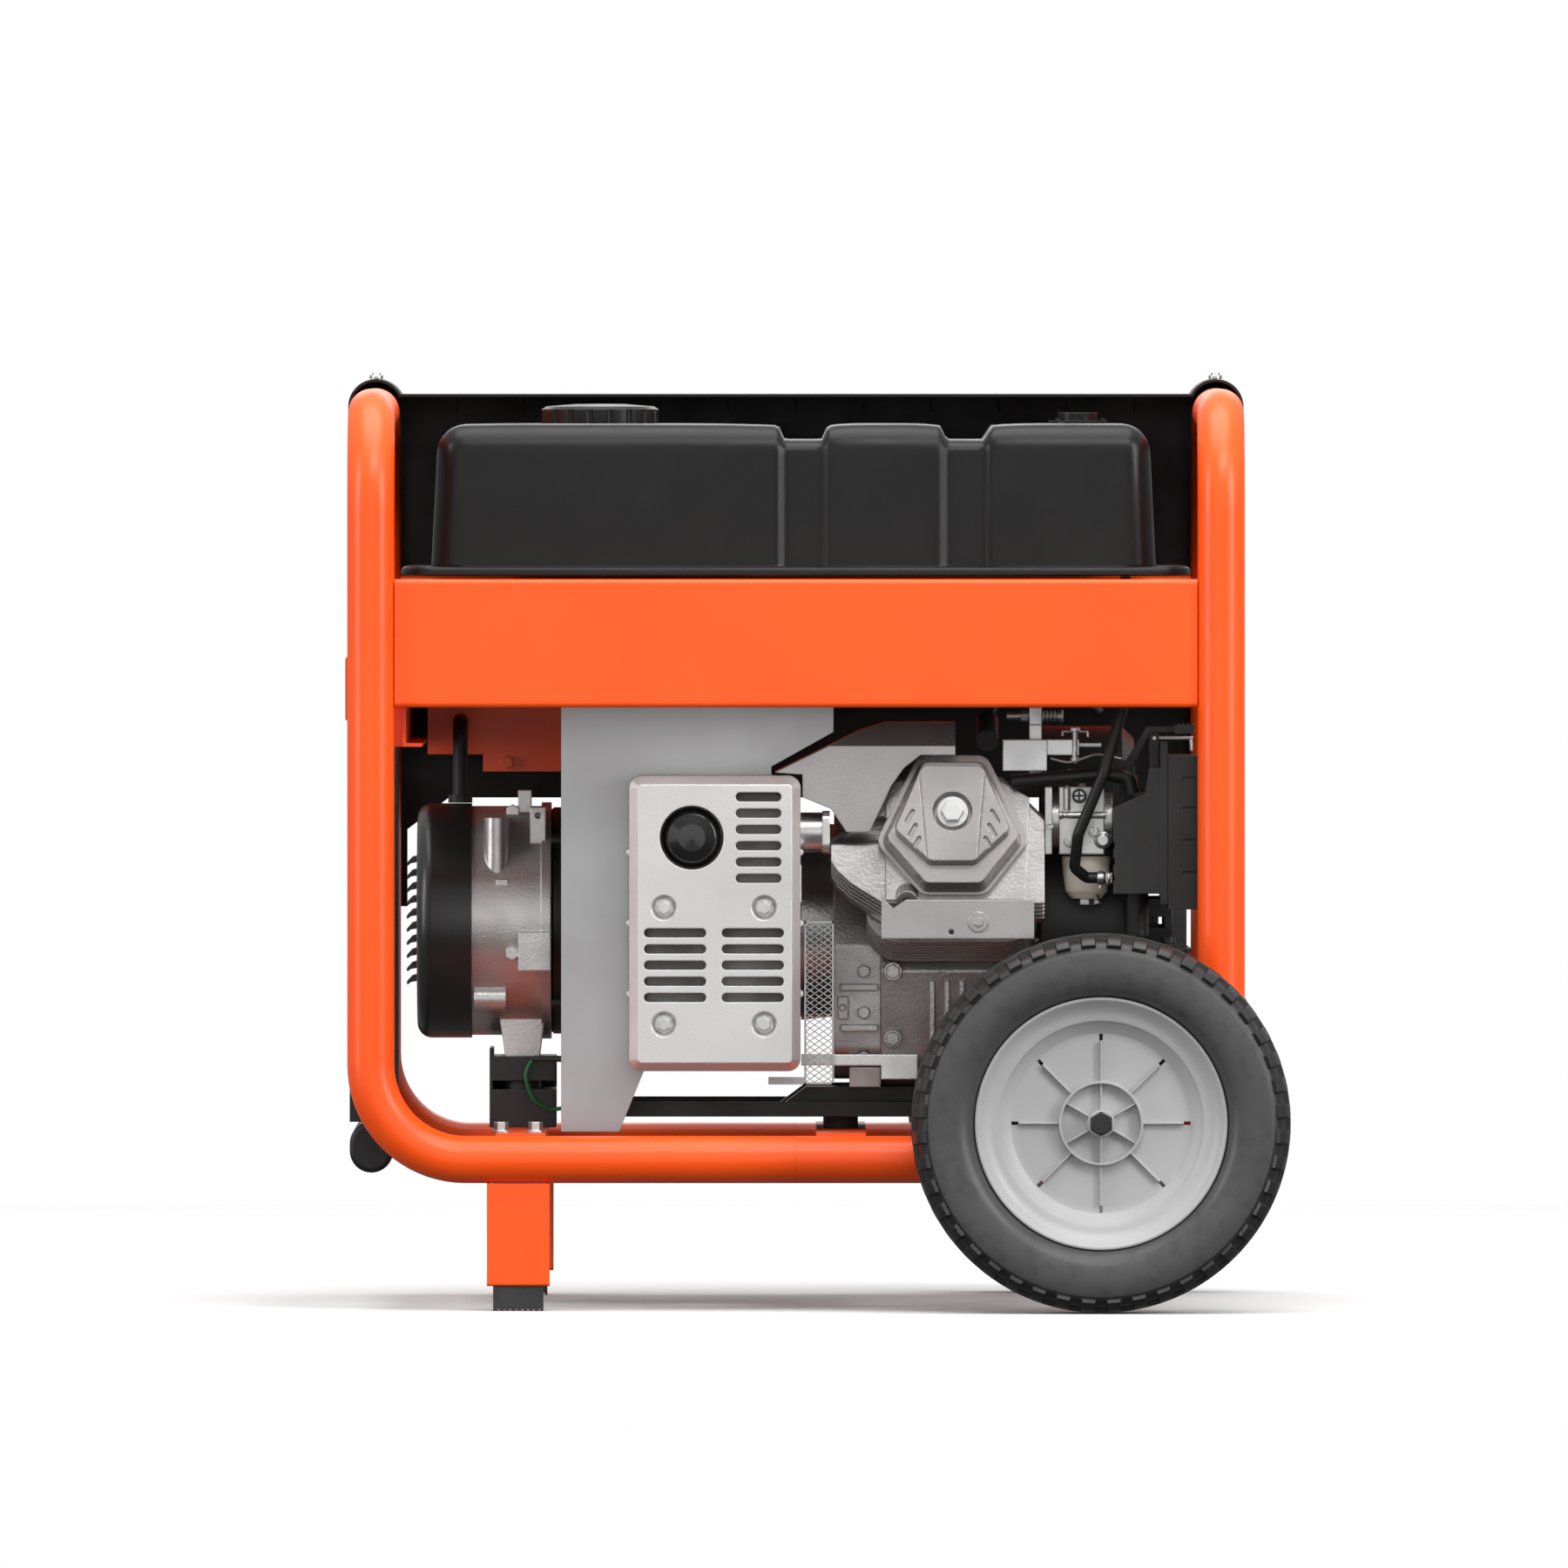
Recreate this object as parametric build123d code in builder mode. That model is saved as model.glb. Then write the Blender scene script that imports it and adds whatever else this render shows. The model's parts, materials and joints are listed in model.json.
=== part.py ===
from build123d import *
import os
from math import cos, radians, sin, sqrt

# Portable generator, millimetres.  X runs along the crankshaft, handle end at -X and
# wheel end at +X.  The muffler side faces -Y, the control panel +Y.  Z is up, z = 0 is
# the ground, and x = y = 0 is the middle of the overall size.

# ---------------------------------------------------------------- driving dimensions
TUBE_R = 19.0              # frame tube, 38 mm outside
TUBE_WALL = 2.0
BEND_R = 76.0              # centreline radius of every frame bend
POST_LEFT_X = -358.0
POST_RIGHT_X = 325.5
POST_Y = 240.0
RAIL_Z = 121.5             # centre of the bottom rail
TOP_Z = 722.0              # centre of the top cross tubes
RAIL_TOP_Z = RAIL_Z + TUBE_R

CHANNEL_Z = (485.0, 588.0)   # side rail, bottom and top
CHANNEL_FACE_Y = 246.0
CHANNEL_DEPTH = 30.0
SHEET = 2.5

WHEEL_X = 228.2
WHEEL_R = 152.4
WHEEL_Y = 310.0
WHEEL_HALF = 39.0
RIM_R = 101.5
AXLE_R = 8.0

LEG_X = (-264.7, -214.3)
LEG_Y = (226.0, 252.0)
FOOT_H = 20.0

AXIS_Y = 50.0              # crankshaft and alternator axis
AXIS_Z = 309.0
SHAFT_R = 15.0
RUN_FIT = 0.05             # radial running clearance
GAP = 0.4                  # clearance between neighbouring bodies

ALT_R = 95.2
COVER_X = (-323.4, -279.2)
BELL_X = (-279.2, -214.6)
STATOR_X = (-214.6, -95.0)
ADAPTER_X = (-95.0, 14.7)
SIDE_COVER_X = (14.7, 52.5)
CASE_X = (52.5, 175.0)
BLOWER_X = (182.0, 258.0)
BLOWER_R = 158.0
RECOIL_X = (258.0, 300.0)
RECOIL_R = 104.0

CYL_X = 109.6              # cylinder centre along the crankshaft
CYL_TILT = 15.0            # degrees above level
DECK_W = 95.0              # distances from the crank axis along the cylinder
HEAD_W = 178.0
COVER_W = 236.0
COVER_FACE_W = 270.0

MUFFLER_X = (-150.5, -12.6)
MUFFLER_Z = (192.0, 429.5)
MUFFLER_FACE_Y = -222.0
MUFFLER_BACK_Y = -136.0
OUTLET = (-100.1, 380.0)
PIPE_Y = -165.0
PIPE_Z = 383.6

PLATE_Y = (-126.0, -124.5)

TANK_X = (-311.5, 275.0)
TANK_Y = (-212.0, 190.0)
TANK_Z = (592.0, 712.0)
TANK_WALL = 3.0
CAP_XY = (-174.7, -20.0)
GAUGE_XY = (212.0, -20.0)
NECK_R = 42.0
NECK_TOP_Z = 718.0

PANEL_Y = (266.0, 269.0)
HOOD_R = 22.6
HOOD_T = 2.4
HOOD_Z = 726.0
HOOD_Y = 110.0
PLATE_TOP_Z = 736.4

HANDLE_Y = 195.0
HANDLE_PIVOT_Z = 500.0
HANDLE_W = 35.0
HANDLE_T = 18.0
PIVOT_R = 5.0

os.makedirs("parts", exist_ok=True)


# ---------------------------------------------------------------- helpers
def block(x, y, z, mode=Mode.ADD):
    """A box between three pairs of limits."""
    middle = ((x[0] + x[1]) / 2, (y[0] + y[1]) / 2, (z[0] + z[1]) / 2)
    with Locations(middle):
        Box(abs(x[1] - x[0]), abs(y[1] - y[0]), abs(z[1] - z[0]), mode=mode)


def rod(start, direction, radius, length, mode=Mode.ADD):
    """A round bar from a start point along a direction."""
    with Locations(Plane(origin=start, z_dir=direction)):
        Cylinder(radius, length, align=(Align.CENTER, Align.CENTER, Align.MIN), mode=mode)


def hexagon(start, direction, across_flats, height, mode=Mode.ADD):
    """A hexagonal prism, for nuts and bolt heads."""
    with BuildSketch(Plane(origin=start, z_dir=direction)) as head:
        RegularPolygon(across_flats / 2, 6, major_radius=False)
    extrude(head.sketch, amount=height, mode=mode)


def turned(outline, centre, axis_dir, side_dir, mode=Mode.ADD):
    """A solid of revolution; the outline is (distance along the axis, radius)."""
    plane = Plane(origin=centre, x_dir=axis_dir, z_dir=side_dir)
    with BuildSketch(plane) as profile:
        with BuildLine():
            Polyline(*outline, close=True)
        make_face()
    revolve(profile.sketch, axis=Axis(centre, axis_dir), mode=mode)


def on_crank(outline, mode=Mode.ADD):
    """A solid turned about the crankshaft; the outline is (x, radius)."""
    turned(outline, (0, AXIS_Y, AXIS_Z), (1, 0, 0), (0, -1, 0), mode)


def plate_xz(points, y, mode=Mode.ADD):
    """A flat plate with an outline in x and z, between two y limits."""
    with BuildSketch(Plane(origin=(0, y[1], 0), x_dir=(1, 0, 0), z_dir=(0, -1, 0))) as outline:
        with BuildLine():
            Polyline(*points, close=True)
        make_face()
    extrude(outline.sketch, amount=y[1] - y[0], mode=mode)


def prism_yz(points, x, mode=Mode.ADD):
    """A prism with an outline in y and z, between two x limits."""
    with BuildSketch(Plane(origin=(x[0], 0, 0), x_dir=(0, 1, 0), z_dir=(1, 0, 0))) as outline:
        with BuildLine():
            Polyline(*points, close=True)
        make_face()
    extrude(outline.sketch, amount=x[1] - x[0], mode=mode)


def cylinder_plane(w):
    """Plane square to the cylinder axis, w from the crankshaft; local y is up the face."""
    tilt = radians(CYL_TILT)
    origin = (CYL_X, AXIS_Y - w * cos(tilt), AXIS_Z + w * sin(tilt))
    return Plane(origin=origin, x_dir=(1, 0, 0), z_dir=(0, -cos(tilt), sin(tilt)))


def up_face(z, w):
    """Local height on the cylinder plane at w of a point at height z."""
    tilt = radians(CYL_TILT)
    return (z - AXIS_Z - w * sin(tilt)) / cos(tilt)


def outline_on(w, points, amount, mode=Mode.ADD, taper=0.0):
    """Extrude an (x, z) outline along the cylinder axis from distance w."""
    local = [(x - CYL_X, up_face(z, w)) for x, z in points]
    with BuildSketch(cylinder_plane(w)) as face:
        with BuildLine():
            Polyline(*local, close=True)
        make_face()
    extrude(face.sketch, amount=amount, mode=mode, taper=taper)


def hose(points, bend, outer, inner=0.0):
    """A tube along straight runs joined by tangent arcs."""
    with BuildLine() as route:
        FilletPolyline(*points, radius=bend)
    with BuildSketch(Plane(origin=route.line @ 0, z_dir=route.line % 0)) as section:
        Circle(outer)
        if inner:
            Circle(inner, mode=Mode.SUBTRACT)
    sweep(section.sketch, path=route.line)


# ---------------------------------------------------------------- frame
def frame_half(x):
    route = ((-16.0, -POST_Y, RAIL_Z), (x, -POST_Y, RAIL_Z), (x, -POST_Y, TOP_Z),
             (x, POST_Y, TOP_Z), (x, POST_Y, RAIL_Z), (-16.0, POST_Y, RAIL_Z))
    hose(route, BEND_R, TUBE_R, TUBE_R - TUBE_WALL)


with BuildPart() as frame_tube_left:
    frame_half(POST_LEFT_X)
frame_tube_left.part.label = "frame_tube_left"
export_step(frame_tube_left.part, "parts/frame_tube_left.step")

with BuildPart() as frame_tube_right:
    frame_half(POST_RIGHT_X)
frame_tube_right.part.label = "frame_tube_right"
export_step(frame_tube_right.part, "parts/frame_tube_right.step")


def channel_sheet(side):
    """The channel as an outer rounded section less its inner one."""
    x = (POST_LEFT_X + TUBE_R, POST_RIGHT_X - TUBE_R)
    height = CHANNEL_Z[1] - CHANNEL_Z[0]
    middle = (side * (CHANNEL_FACE_Y - CHANNEL_DEPTH / 2), (CHANNEL_Z[0] + CHANNEL_Z[1]) / 2)
    with BuildSketch(Plane(origin=(x[0], 0, 0), x_dir=(0, 1, 0), z_dir=(1, 0, 0))) as section:
        with Locations(middle):
            RectangleRounded(CHANNEL_DEPTH, height, 4.0)
            RectangleRounded(CHANNEL_DEPTH - 2 * SHEET, height - 2 * SHEET, 1.5, mode=Mode.SUBTRACT)
        with Locations((middle[0] - side * CHANNEL_DEPTH / 2, middle[1])):
            Rectangle(10.0, height - 12.0, mode=Mode.SUBTRACT)
    extrude(section.sketch, amount=x[1] - x[0])


with BuildPart() as near_side_rail:
    channel_sheet(-1)
near_side_rail.part.label = "near_side_rail"
export_step(near_side_rail.part, "parts/near_side_rail.step")

with BuildPart() as far_side_rail:
    channel_sheet(1)
far_side_rail.part.label = "far_side_rail"
export_step(far_side_rail.part, "parts/far_side_rail.step")

# Cross-member at the handle end, with a pair of ears for each handle leg
EAR_Z = (453.0, 545.0)
EAR_OFFSET = HANDLE_T / 2 + GAP
with BuildPart() as end_crossmember:
    web_x = (-333.0, -330.0)
    reach = CHANNEL_FACE_Y - CHANNEL_DEPTH
    block(web_x, (-reach, reach), EAR_Z)
    for z in (EAR_Z[0], EAR_Z[1] - 3.0):
        block((web_x[1], -317.0), (-reach, reach), (z, z + 3.0))
    for leg_y in (-HANDLE_Y, HANDLE_Y):
        for side in (-1, 1):
            inner = leg_y + side * EAR_OFFSET
            outer = inner + side * 3.0
            outline = ((web_x[0], EAR_Z[0]), (-352.0, EAR_Z[0]), (-379.0, 475.0), (-379.0, 524.0),
                       (-352.0, EAR_Z[1]), (web_x[0], EAR_Z[1]))
            plate_xz(outline, (min(inner, outer), max(inner, outer)))
        rod((POST_LEFT_X, leg_y - 14.0, HANDLE_PIVOT_Z), (0, 1, 0), PIVOT_R, 28.0, Mode.SUBTRACT)
end_crossmember.part.label = "end_crossmember"
export_step(end_crossmember.part, "parts/end_crossmember.step")

# Base cross-members between the bottom rails, and the axle brackets on top of the rails
MEMBER_X = ((-258.0, -218.0), (0.0, 40.0), (130.0, 170.0))
MEMBER_Z = (118.0, 142.0)
with BuildPart() as base_crossmembers:
    for x in MEMBER_X:
        block(x, (-POST_Y + TUBE_R + 0.2, POST_Y - TUBE_R - 0.2), MEMBER_Z)
        block((x[0] + 3.0, x[1] - 3.0), (-POST_Y, POST_Y), (MEMBER_Z[0] - 1, MEMBER_Z[1] - 3.0),
              Mode.SUBTRACT)
    for side in (-1, 1):
        y = (side * (POST_Y - 12.0), side * (POST_Y + 12.0))
        block((WHEEL_X - 24.0, WHEEL_X + 24.0), y, (RAIL_TOP_Z, 168.0))
        rod((WHEEL_X, side * (POST_Y - 16.0), WHEEL_R), (0, side, 0), AXLE_R, 32.0, Mode.SUBTRACT)
        block((WHEEL_X - 24.0, WHEEL_X + 24.0), (side * (POST_Y - 9.0), side * (POST_Y + 9.0)),
              (RAIL_TOP_Z - 1.0, 143.6), Mode.SUBTRACT)
    edges_up = base_crossmembers.edges().filter_by(Axis.Y).group_by(Axis.Z)[-1]
    fillet(edges_up, 10.0)
base_crossmembers.part.label = "base_crossmembers"
export_step(base_crossmembers.part, "parts/base_crossmembers.step")

with BuildPart() as axle_bolts:
    for side in (-1, 1):
        rod((WHEEL_X, side * 227.0, WHEEL_R), (0, side, 0), AXLE_R, 117.5)
        hexagon((WHEEL_X, side * 216.5, WHEEL_R), (0, side, 0), 24.0, 10.5)
        hexagon((WHEEL_X, side * (WHEEL_Y + 25.0), WHEEL_R), (0, side, 0), 17.0, 9.0)
axle_bolts.part.label = "axle_bolts"
export_step(axle_bolts.part, "parts/axle_bolts.step")

with BuildPart() as support_legs:
    for side in (-1, 1):
        y = (side * LEG_Y[0], side * LEG_Y[1])
        block(LEG_X, y, (FOOT_H, RAIL_Z - TUBE_R))
        block((LEG_X[0] + 3.0, LEG_X[1] - 3.0), (side * (LEG_Y[0] - 1.0), side * (LEG_Y[1] - 3.0)),
              (FOOT_H + 3.0, 130.0), Mode.SUBTRACT)
    fillet(support_legs.edges().filter_by(Axis.X).group_by(Axis.Z)[0], 2.0)
support_legs.part.label = "support_legs"
export_step(support_legs.part, "parts/support_legs.step")

FOOT_X = (-259.7, -219.4)
with BuildPart() as rubber_feet:
    for side in (-1, 1):
        block(FOOT_X, (side * (LEG_Y[0] + 2), side * (LEG_Y[1] - 2)), (0.0, FOOT_H))
        for step in range(8):
            x = FOOT_X[0] + 3.5 + step * 4.75
            block((x, x + 1.6), (side * LEG_Y[0], side * LEG_Y[1]), (-1.0, 1.5), Mode.SUBTRACT)
rubber_feet.part.label = "rubber_feet"
export_step(rubber_feet.part, "parts/rubber_feet.step")

# ---------------------------------------------------------------- engine cradle and mounts
CRADLE_Z = (152.0, 155.0)
CRADLE_END = 179.0
CASE_BOTTOM_Z = 176.0
with BuildPart() as engine_cradle:
    block((-155.0, CRADLE_END), (-60.0, 150.0), CRADLE_Z)
    block((-120.0, -50.0), (-20.0, 110.0), (CRADLE_Z[0] - 1, CRADLE_Z[1] + 1), Mode.SUBTRACT)
    for y in (-60.0, 147.0):
        block((-155.0, CRADLE_END), (y, y + 3.0), (CRADLE_Z[0], CRADLE_Z[1] + 9.0))
    for y in (-40.0, 105.0):
        outline = ((-36.0, CRADLE_Z[1]), (-8.0, CASE_BOTTOM_Z), (172.0, CASE_BOTTOM_Z),
                   (CRADLE_END, CRADLE_Z[1]))
        plate_xz(outline, (y, y + 25.0))
engine_cradle.part.label = "engine_cradle"
export_step(engine_cradle.part, "parts/engine_cradle.step")

BRACKET_X = (-264.6, -210.7)
ISOLATOR_Y = (-5.0, 105.0)
with BuildPart() as isolator_brackets:
    block(BRACKET_X, ISOLATOR_Y, (MEMBER_Z[1], 145.0))
    for x in (BRACKET_X[0], BRACKET_X[1] - 3.0):
        block((x, x + 3.0), ISOLATOR_Y, (MEMBER_Z[1], 173.0))
    block(BRACKET_X, ISOLATOR_Y, (170.0, 173.0))
    block(BRACKET_X, (ISOLATOR_Y[0], ISOLATOR_Y[0] + 3.0), (MEMBER_Z[1], 173.0))
    block(BRACKET_X, ISOLATOR_Y, (194.0, 199.5))
    block((BRACKET_X[0], BRACKET_X[0] + 3.0), ISOLATOR_Y, (170.0, 206.0))
    block(BRACKET_X, (ISOLATOR_Y[1] - 3.0, ISOLATOR_Y[1]), (170.0, 199.5))
    block(BRACKET_X, (ISOLATOR_Y[0], ISOLATOR_Y[0] + 3.0), (180.0, 199.5))
    fillet(isolator_brackets.edges().filter_by(Axis.Z), 1.0)
isolator_brackets.part.label = "isolator_brackets"
export_step(isolator_brackets.part, "parts/isolator_brackets.step")

with BuildPart() as isolator_mounts:
    for y in (ISOLATOR_Y[0] + 18.0, ISOLATOR_Y[1] - 18.0):
        rod((-238.0, y, 173.0), (0, 0, 1), 14.7, 21.0)
    for x in (20.0, 150.0):
        for y in (-30.0, 118.0):
            rod((x, y, MEMBER_Z[1]), (0, 0, 1), 14.0, CRADLE_Z[0] - MEMBER_Z[1])
isolator_mounts.part.label = "isolator_mounts"
export_step(isolator_mounts.part, "parts/isolator_mounts.step")

# ---------------------------------------------------------------- alternator
LOUVER_STEP = 10.7
with BuildPart() as alternator_end_cover:
    wall = 2.5
    corner = 12.0
    with BuildSketch(Plane(origin=(0, AXIS_Y, AXIS_Z), x_dir=(1, 0, 0), z_dir=(0, -1, 0))):
        with BuildLine():
            FilletPolyline((COVER_X[0], 0), (COVER_X[0], ALT_R), (COVER_X[1], ALT_R), radius=corner)
            Line((COVER_X[1], ALT_R), (COVER_X[1], ALT_R - wall))
            FilletPolyline((COVER_X[1], ALT_R - wall), (COVER_X[0] + wall, ALT_R - wall),
                           (COVER_X[0] + wall, 0), radius=corner - wall)
            Line((COVER_X[0] + wall, 0), (COVER_X[0], 0))
        make_face()
    revolve(axis=Axis((0, AXIS_Y, AXIS_Z), (1, 0, 0)))
    for count in range(-5, 5):
        z = AXIS_Z + (count + 0.5) * LOUVER_STEP
        half = sqrt((ALT_R - 24) ** 2 - (z - AXIS_Z) ** 2) * 0.8
        hood = ((COVER_X[0] + 0.5, z + 4.6), (COVER_X[0] - 4.6, z + 3.2), (COVER_X[0] - 8.6, z - 1.2),
                (COVER_X[0] - 7.8, z - 3.4), (COVER_X[0] - 5.0, z - 1.2), (COVER_X[0] + 0.5, z - 0.2))
        plate_xz(hood, (AXIS_Y - half, AXIS_Y + half))
        block((COVER_X[0] - 0.2, COVER_X[0] + wall + 1), (AXIS_Y - half + 3, AXIS_Y + half - 3),
              (z - 4.0, z - 0.6), Mode.SUBTRACT)
alternator_end_cover.part.label = "alternator_end_cover"
export_step(alternator_end_cover.part, "parts/alternator_end_cover.step")

BELL_R = 93.0
with BuildPart() as alternator_end_bell:
    on_crank(((BELL_X[0], 30), (BELL_X[0], BELL_R), (BELL_X[1] - 8, BELL_R), (BELL_X[1] - 8, BELL_R + 3), (BELL_X[1], BELL_R + 3),
              (BELL_X[1], BELL_R - 8), (BELL_X[0] + 16, BELL_R - 8), (BELL_X[0] + 12, 40),
              (BELL_X[0] + 12, 30)))
    on_crank(((BELL_X[0], 16), (BELL_X[0], 32), (BELL_X[0] + 22, 32), (BELL_X[0] + 22, 16)))
    rod((-258.5, -24.0, 345.0), (0, 0, 1), 10.0, 48.5)
    block((-268.5, -248.6), (-24.0, 10.0), (345.0, 393.5))
    block((-258.7, -249.5), (-38.0, 0.0), (322.0, 343.5))
    block((-241.6, -230.8), (20.0, 60.0), (391.6, 415.0))
    block((-231.7, -219.0), (-20.0, 10.0), (372.7, 401.8))
    rod((-225.2, -24.0, 395.0), (0, 1, 0), 2.4, 40.0, Mode.SUBTRACT)
    block((-241.0, BELL_X[1]), (-54.0, -20.0), (270.0, 301.0))
    rod((-281.0 + 4, -20.0, 246.8), (1, 0, 0), 10.8, 26.0)
    block((-277.0, -251.0), (-20.0, 0.0), (236.0, 257.6))
    for y in (ISOLATOR_Y[0] + 18.0, ISOLATOR_Y[1] - 18.0):
        plate_xz(((-257.6, 240.0), (-219.0, 240.0), (-224.0, 199.5), (-252.0, 199.5)), (y - 12, y + 12))
    for y, z in ((-38.0, 283.9), (24.0, 398.0)):
        hexagon((-246.0, y, z), (0, -1, 0), 10.0, 9.0)
    on_crank(((BELL_X[0] + 12, 0), (BELL_X[0] + 12, 15.9), (BELL_X[1] + 1, 15.9), (BELL_X[1] + 1, 0)),
             Mode.SUBTRACT)
    on_crank(((BELL_X[0] + 24, 0), (BELL_X[0] + 24, BELL_R - 8.5), (BELL_X[1] + 1, BELL_R - 8.5),
              (BELL_X[1] + 1, 0)), Mode.SUBTRACT)
alternator_end_bell.part.label = "alternator_end_bell"
export_step(alternator_end_bell.part, "parts/alternator_end_bell.step")

ROTOR_R = 61.0
with BuildPart() as stator:
    on_crank(((STATOR_X[0], ROTOR_R + 1.5), (STATOR_X[0], 92.0), (STATOR_X[1], 92.0),
              (STATOR_X[1], ROTOR_R + 1.5)))
    for angle in (45, 135, 225, 315):
        y = AXIS_Y + 93.0 * cos(radians(angle))
        z = AXIS_Z + 93.0 * sin(radians(angle))
        rod((STATOR_X[0], y, z), (1, 0, 0), 5.0, STATOR_X[1] - STATOR_X[0])
    chamfer(stator.edges().filter_by(GeomType.CIRCLE).group_by(SortBy.RADIUS)[-1], 2.0)
stator.part.label = "stator"
export_step(stator.part, "parts/stator.step")

with BuildPart() as rotor:
    x = (STATOR_X[0] + 8, STATOR_X[1] - 8)
    on_crank(((x[0], SHAFT_R), (x[0], ROTOR_R), (x[1], ROTOR_R), (x[1], SHAFT_R)))
    for angle in (0, 180):
        y = AXIS_Y + (ROTOR_R + 2) * cos(radians(angle))
        z = AXIS_Z + (ROTOR_R + 2) * sin(radians(angle))
        block((x[0] - 1, x[1] + 1), (y - 14, y + 14), (z - 12, z + 12), Mode.SUBTRACT)
rotor.part.label = "rotor"
export_step(rotor.part, "parts/rotor.step")

# ---------------------------------------------------------------- engine
CASE_CAVITY_R = 66.0
deck_lo = cylinder_plane(DECK_W).from_local_coords((0, -66.0, 0))
deck_hi = cylinder_plane(DECK_W).from_local_coords((0, 66.0, 0))
CASE_OUTLINE = ((-34.0, CASE_BOTTOM_Z), (148.0, CASE_BOTTOM_Z), (152.0, 330.0), (118.0, 392.0),
                (20.0, 404.0), (deck_hi.Y, deck_hi.Z), (deck_lo.Y, deck_lo.Z), (-50.0, 200.0))
with BuildPart() as crankcase:
    prism_yz(CASE_OUTLINE, CASE_X)
    fillet(crankcase.edges().filter_by(Axis.X), 6.0)
    on_crank(((CASE_X[0] - 1, 0), (CASE_X[0] - 1, CASE_CAVITY_R), (CASE_X[1] - 12, CASE_CAVITY_R),
              (CASE_X[1] - 12, 0)), Mode.SUBTRACT)
    rod((CASE_X[1] - 14, AXIS_Y, AXIS_Z), (1, 0, 0), SHAFT_R + RUN_FIT, 20.0, Mode.SUBTRACT)
    bore = cylinder_plane(0.0)
    rod(bore.origin, bore.z_dir, 45.0, DECK_W + 2.0, Mode.SUBTRACT)
    for x, z in ((62.0, 269.5), (62.0, 215.0), (150.0, 215.0), (150.0, 262.0)):
        rod((x, -62.0, z), (0, 1, 0), 7.5, 30.0)
        hexagon((x, -62.0, z), (0, -1, 0), 10.0, 6.0)
    for x in (92.0, 104.0, 116.0, 128.0):
        block((x, x + 4.0), (-60.0, -40.0), (196.0, 262.0))
crankcase.part.label = "crankcase"
export_step(crankcase.part, "parts/crankcase.step")

with BuildPart() as crankcase_cover:
    prism_yz(((-30.0, 182.0), (140.0, 182.0), (146.0, 326.0), (112.0, 384.0), (20.0, 396.0),
              (-26.0, 372.0), (-46.0, 290.0), (-44.0, 205.0)), SIDE_COVER_X)
    fillet(crankcase_cover.edges().filter_by(Axis.X), 10.0)
    on_crank(((ADAPTER_X[0], 60), (ADAPTER_X[0], 96), (ADAPTER_X[0] + 8, 96), (ADAPTER_X[0] + 12, 88),
              (ADAPTER_X[1] + 1, 78), (ADAPTER_X[1] + 1, 50)))
    on_crank(((ADAPTER_X[0] - 1, 0), (ADAPTER_X[0] - 1, 80), (ADAPTER_X[1] - 6, 66),
              (ADAPTER_X[1] - 6, 0)), Mode.SUBTRACT)
    rod((ADAPTER_X[1] - 8, AXIS_Y, AXIS_Z), (1, 0, 0), SHAFT_R + RUN_FIT, 50.0, Mode.SUBTRACT)
    for angle in (20, 90, 160, 270):
        y = AXIS_Y + 70 * cos(radians(angle))
        z = AXIS_Z + 70 * sin(radians(angle))
        block((-72.0, -12.0), (y - 22, y + 22), (z - 22, z + 22), Mode.SUBTRACT)
    for z in (200.0, 236.0, 269.5):
        hexagon((SIDE_COVER_X[0] + 24.0, -44.0, z), (0, -1, 0), 9.0, 12.0)
    block((27.0, 52.0), (-62.0, -40.0), (CASE_BOTTOM_Z, 192.0))
    for z in (221.0, 254.0):
        block((20.0, 50.0), (-56.0, -40.0), (z, z + 5.0))
    block((18.0, 26.0), (-58.0, -40.0), (231.0, 249.0))
    rod((21.6, -60.0, 240.0), (0, 1, 0), 2.6, 12.0, Mode.SUBTRACT)
crankcase_cover.part.label = "crankcase_cover"
export_step(crankcase_cover.part, "parts/crankcase_cover.step")

CRANK_THROW = 30.0
with BuildPart() as crankshaft:
    rod((BELL_X[0] + 14, AXIS_Y, AXIS_Z), (1, 0, 0), SHAFT_R, RECOIL_X[0] + 20 - BELL_X[0] - 14)
    for x in ((CYL_X - 34, CYL_X - 18), (CYL_X + 18, CYL_X + 34)):
        on_crank(((x[0], 0), (x[0], 56), (x[1], 56), (x[1], 0)))
        block((x[0] - 1, x[1] + 1), (AXIS_Y + 34, AXIS_Y + 60), (AXIS_Z - 60, AXIS_Z + 60), Mode.SUBTRACT)
    block((CYL_X - 18, CYL_X + 18), (AXIS_Y - 20, AXIS_Y + 20), (AXIS_Z - 20, AXIS_Z + 20), Mode.SUBTRACT)
    rod((CYL_X - 20, AXIS_Y - CRANK_THROW, AXIS_Z), (1, 0, 0), 17.0, 40.0)
crankshaft.part.label = "crankshaft"
export_step(crankshaft.part, "parts/crankshaft.step")

FLYWHEEL_X = (196.0, 236.0)
with BuildPart() as flywheel:
    x = FLYWHEEL_X
    on_crank(((x[0], SHAFT_R), (x[0], 40), (x[0], 100), (x[0] + 18, 100), (x[0] + 18, 40),
              (x[1], 34), (x[1], SHAFT_R)))
    for count in range(16):
        angle = radians(count * 22.5)
        direction = (0, cos(angle), sin(angle))
        with BuildSketch(Plane(origin=(x[0] + 17, AXIS_Y, AXIS_Z), x_dir=direction, z_dir=(1, 0, 0))):
            with Locations((72.0, 0.0)):
                Rectangle(44.0, 3.0)
        extrude(amount=24.0)
flywheel.part.label = "flywheel"
export_step(flywheel.part, "parts/flywheel.step")

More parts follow.
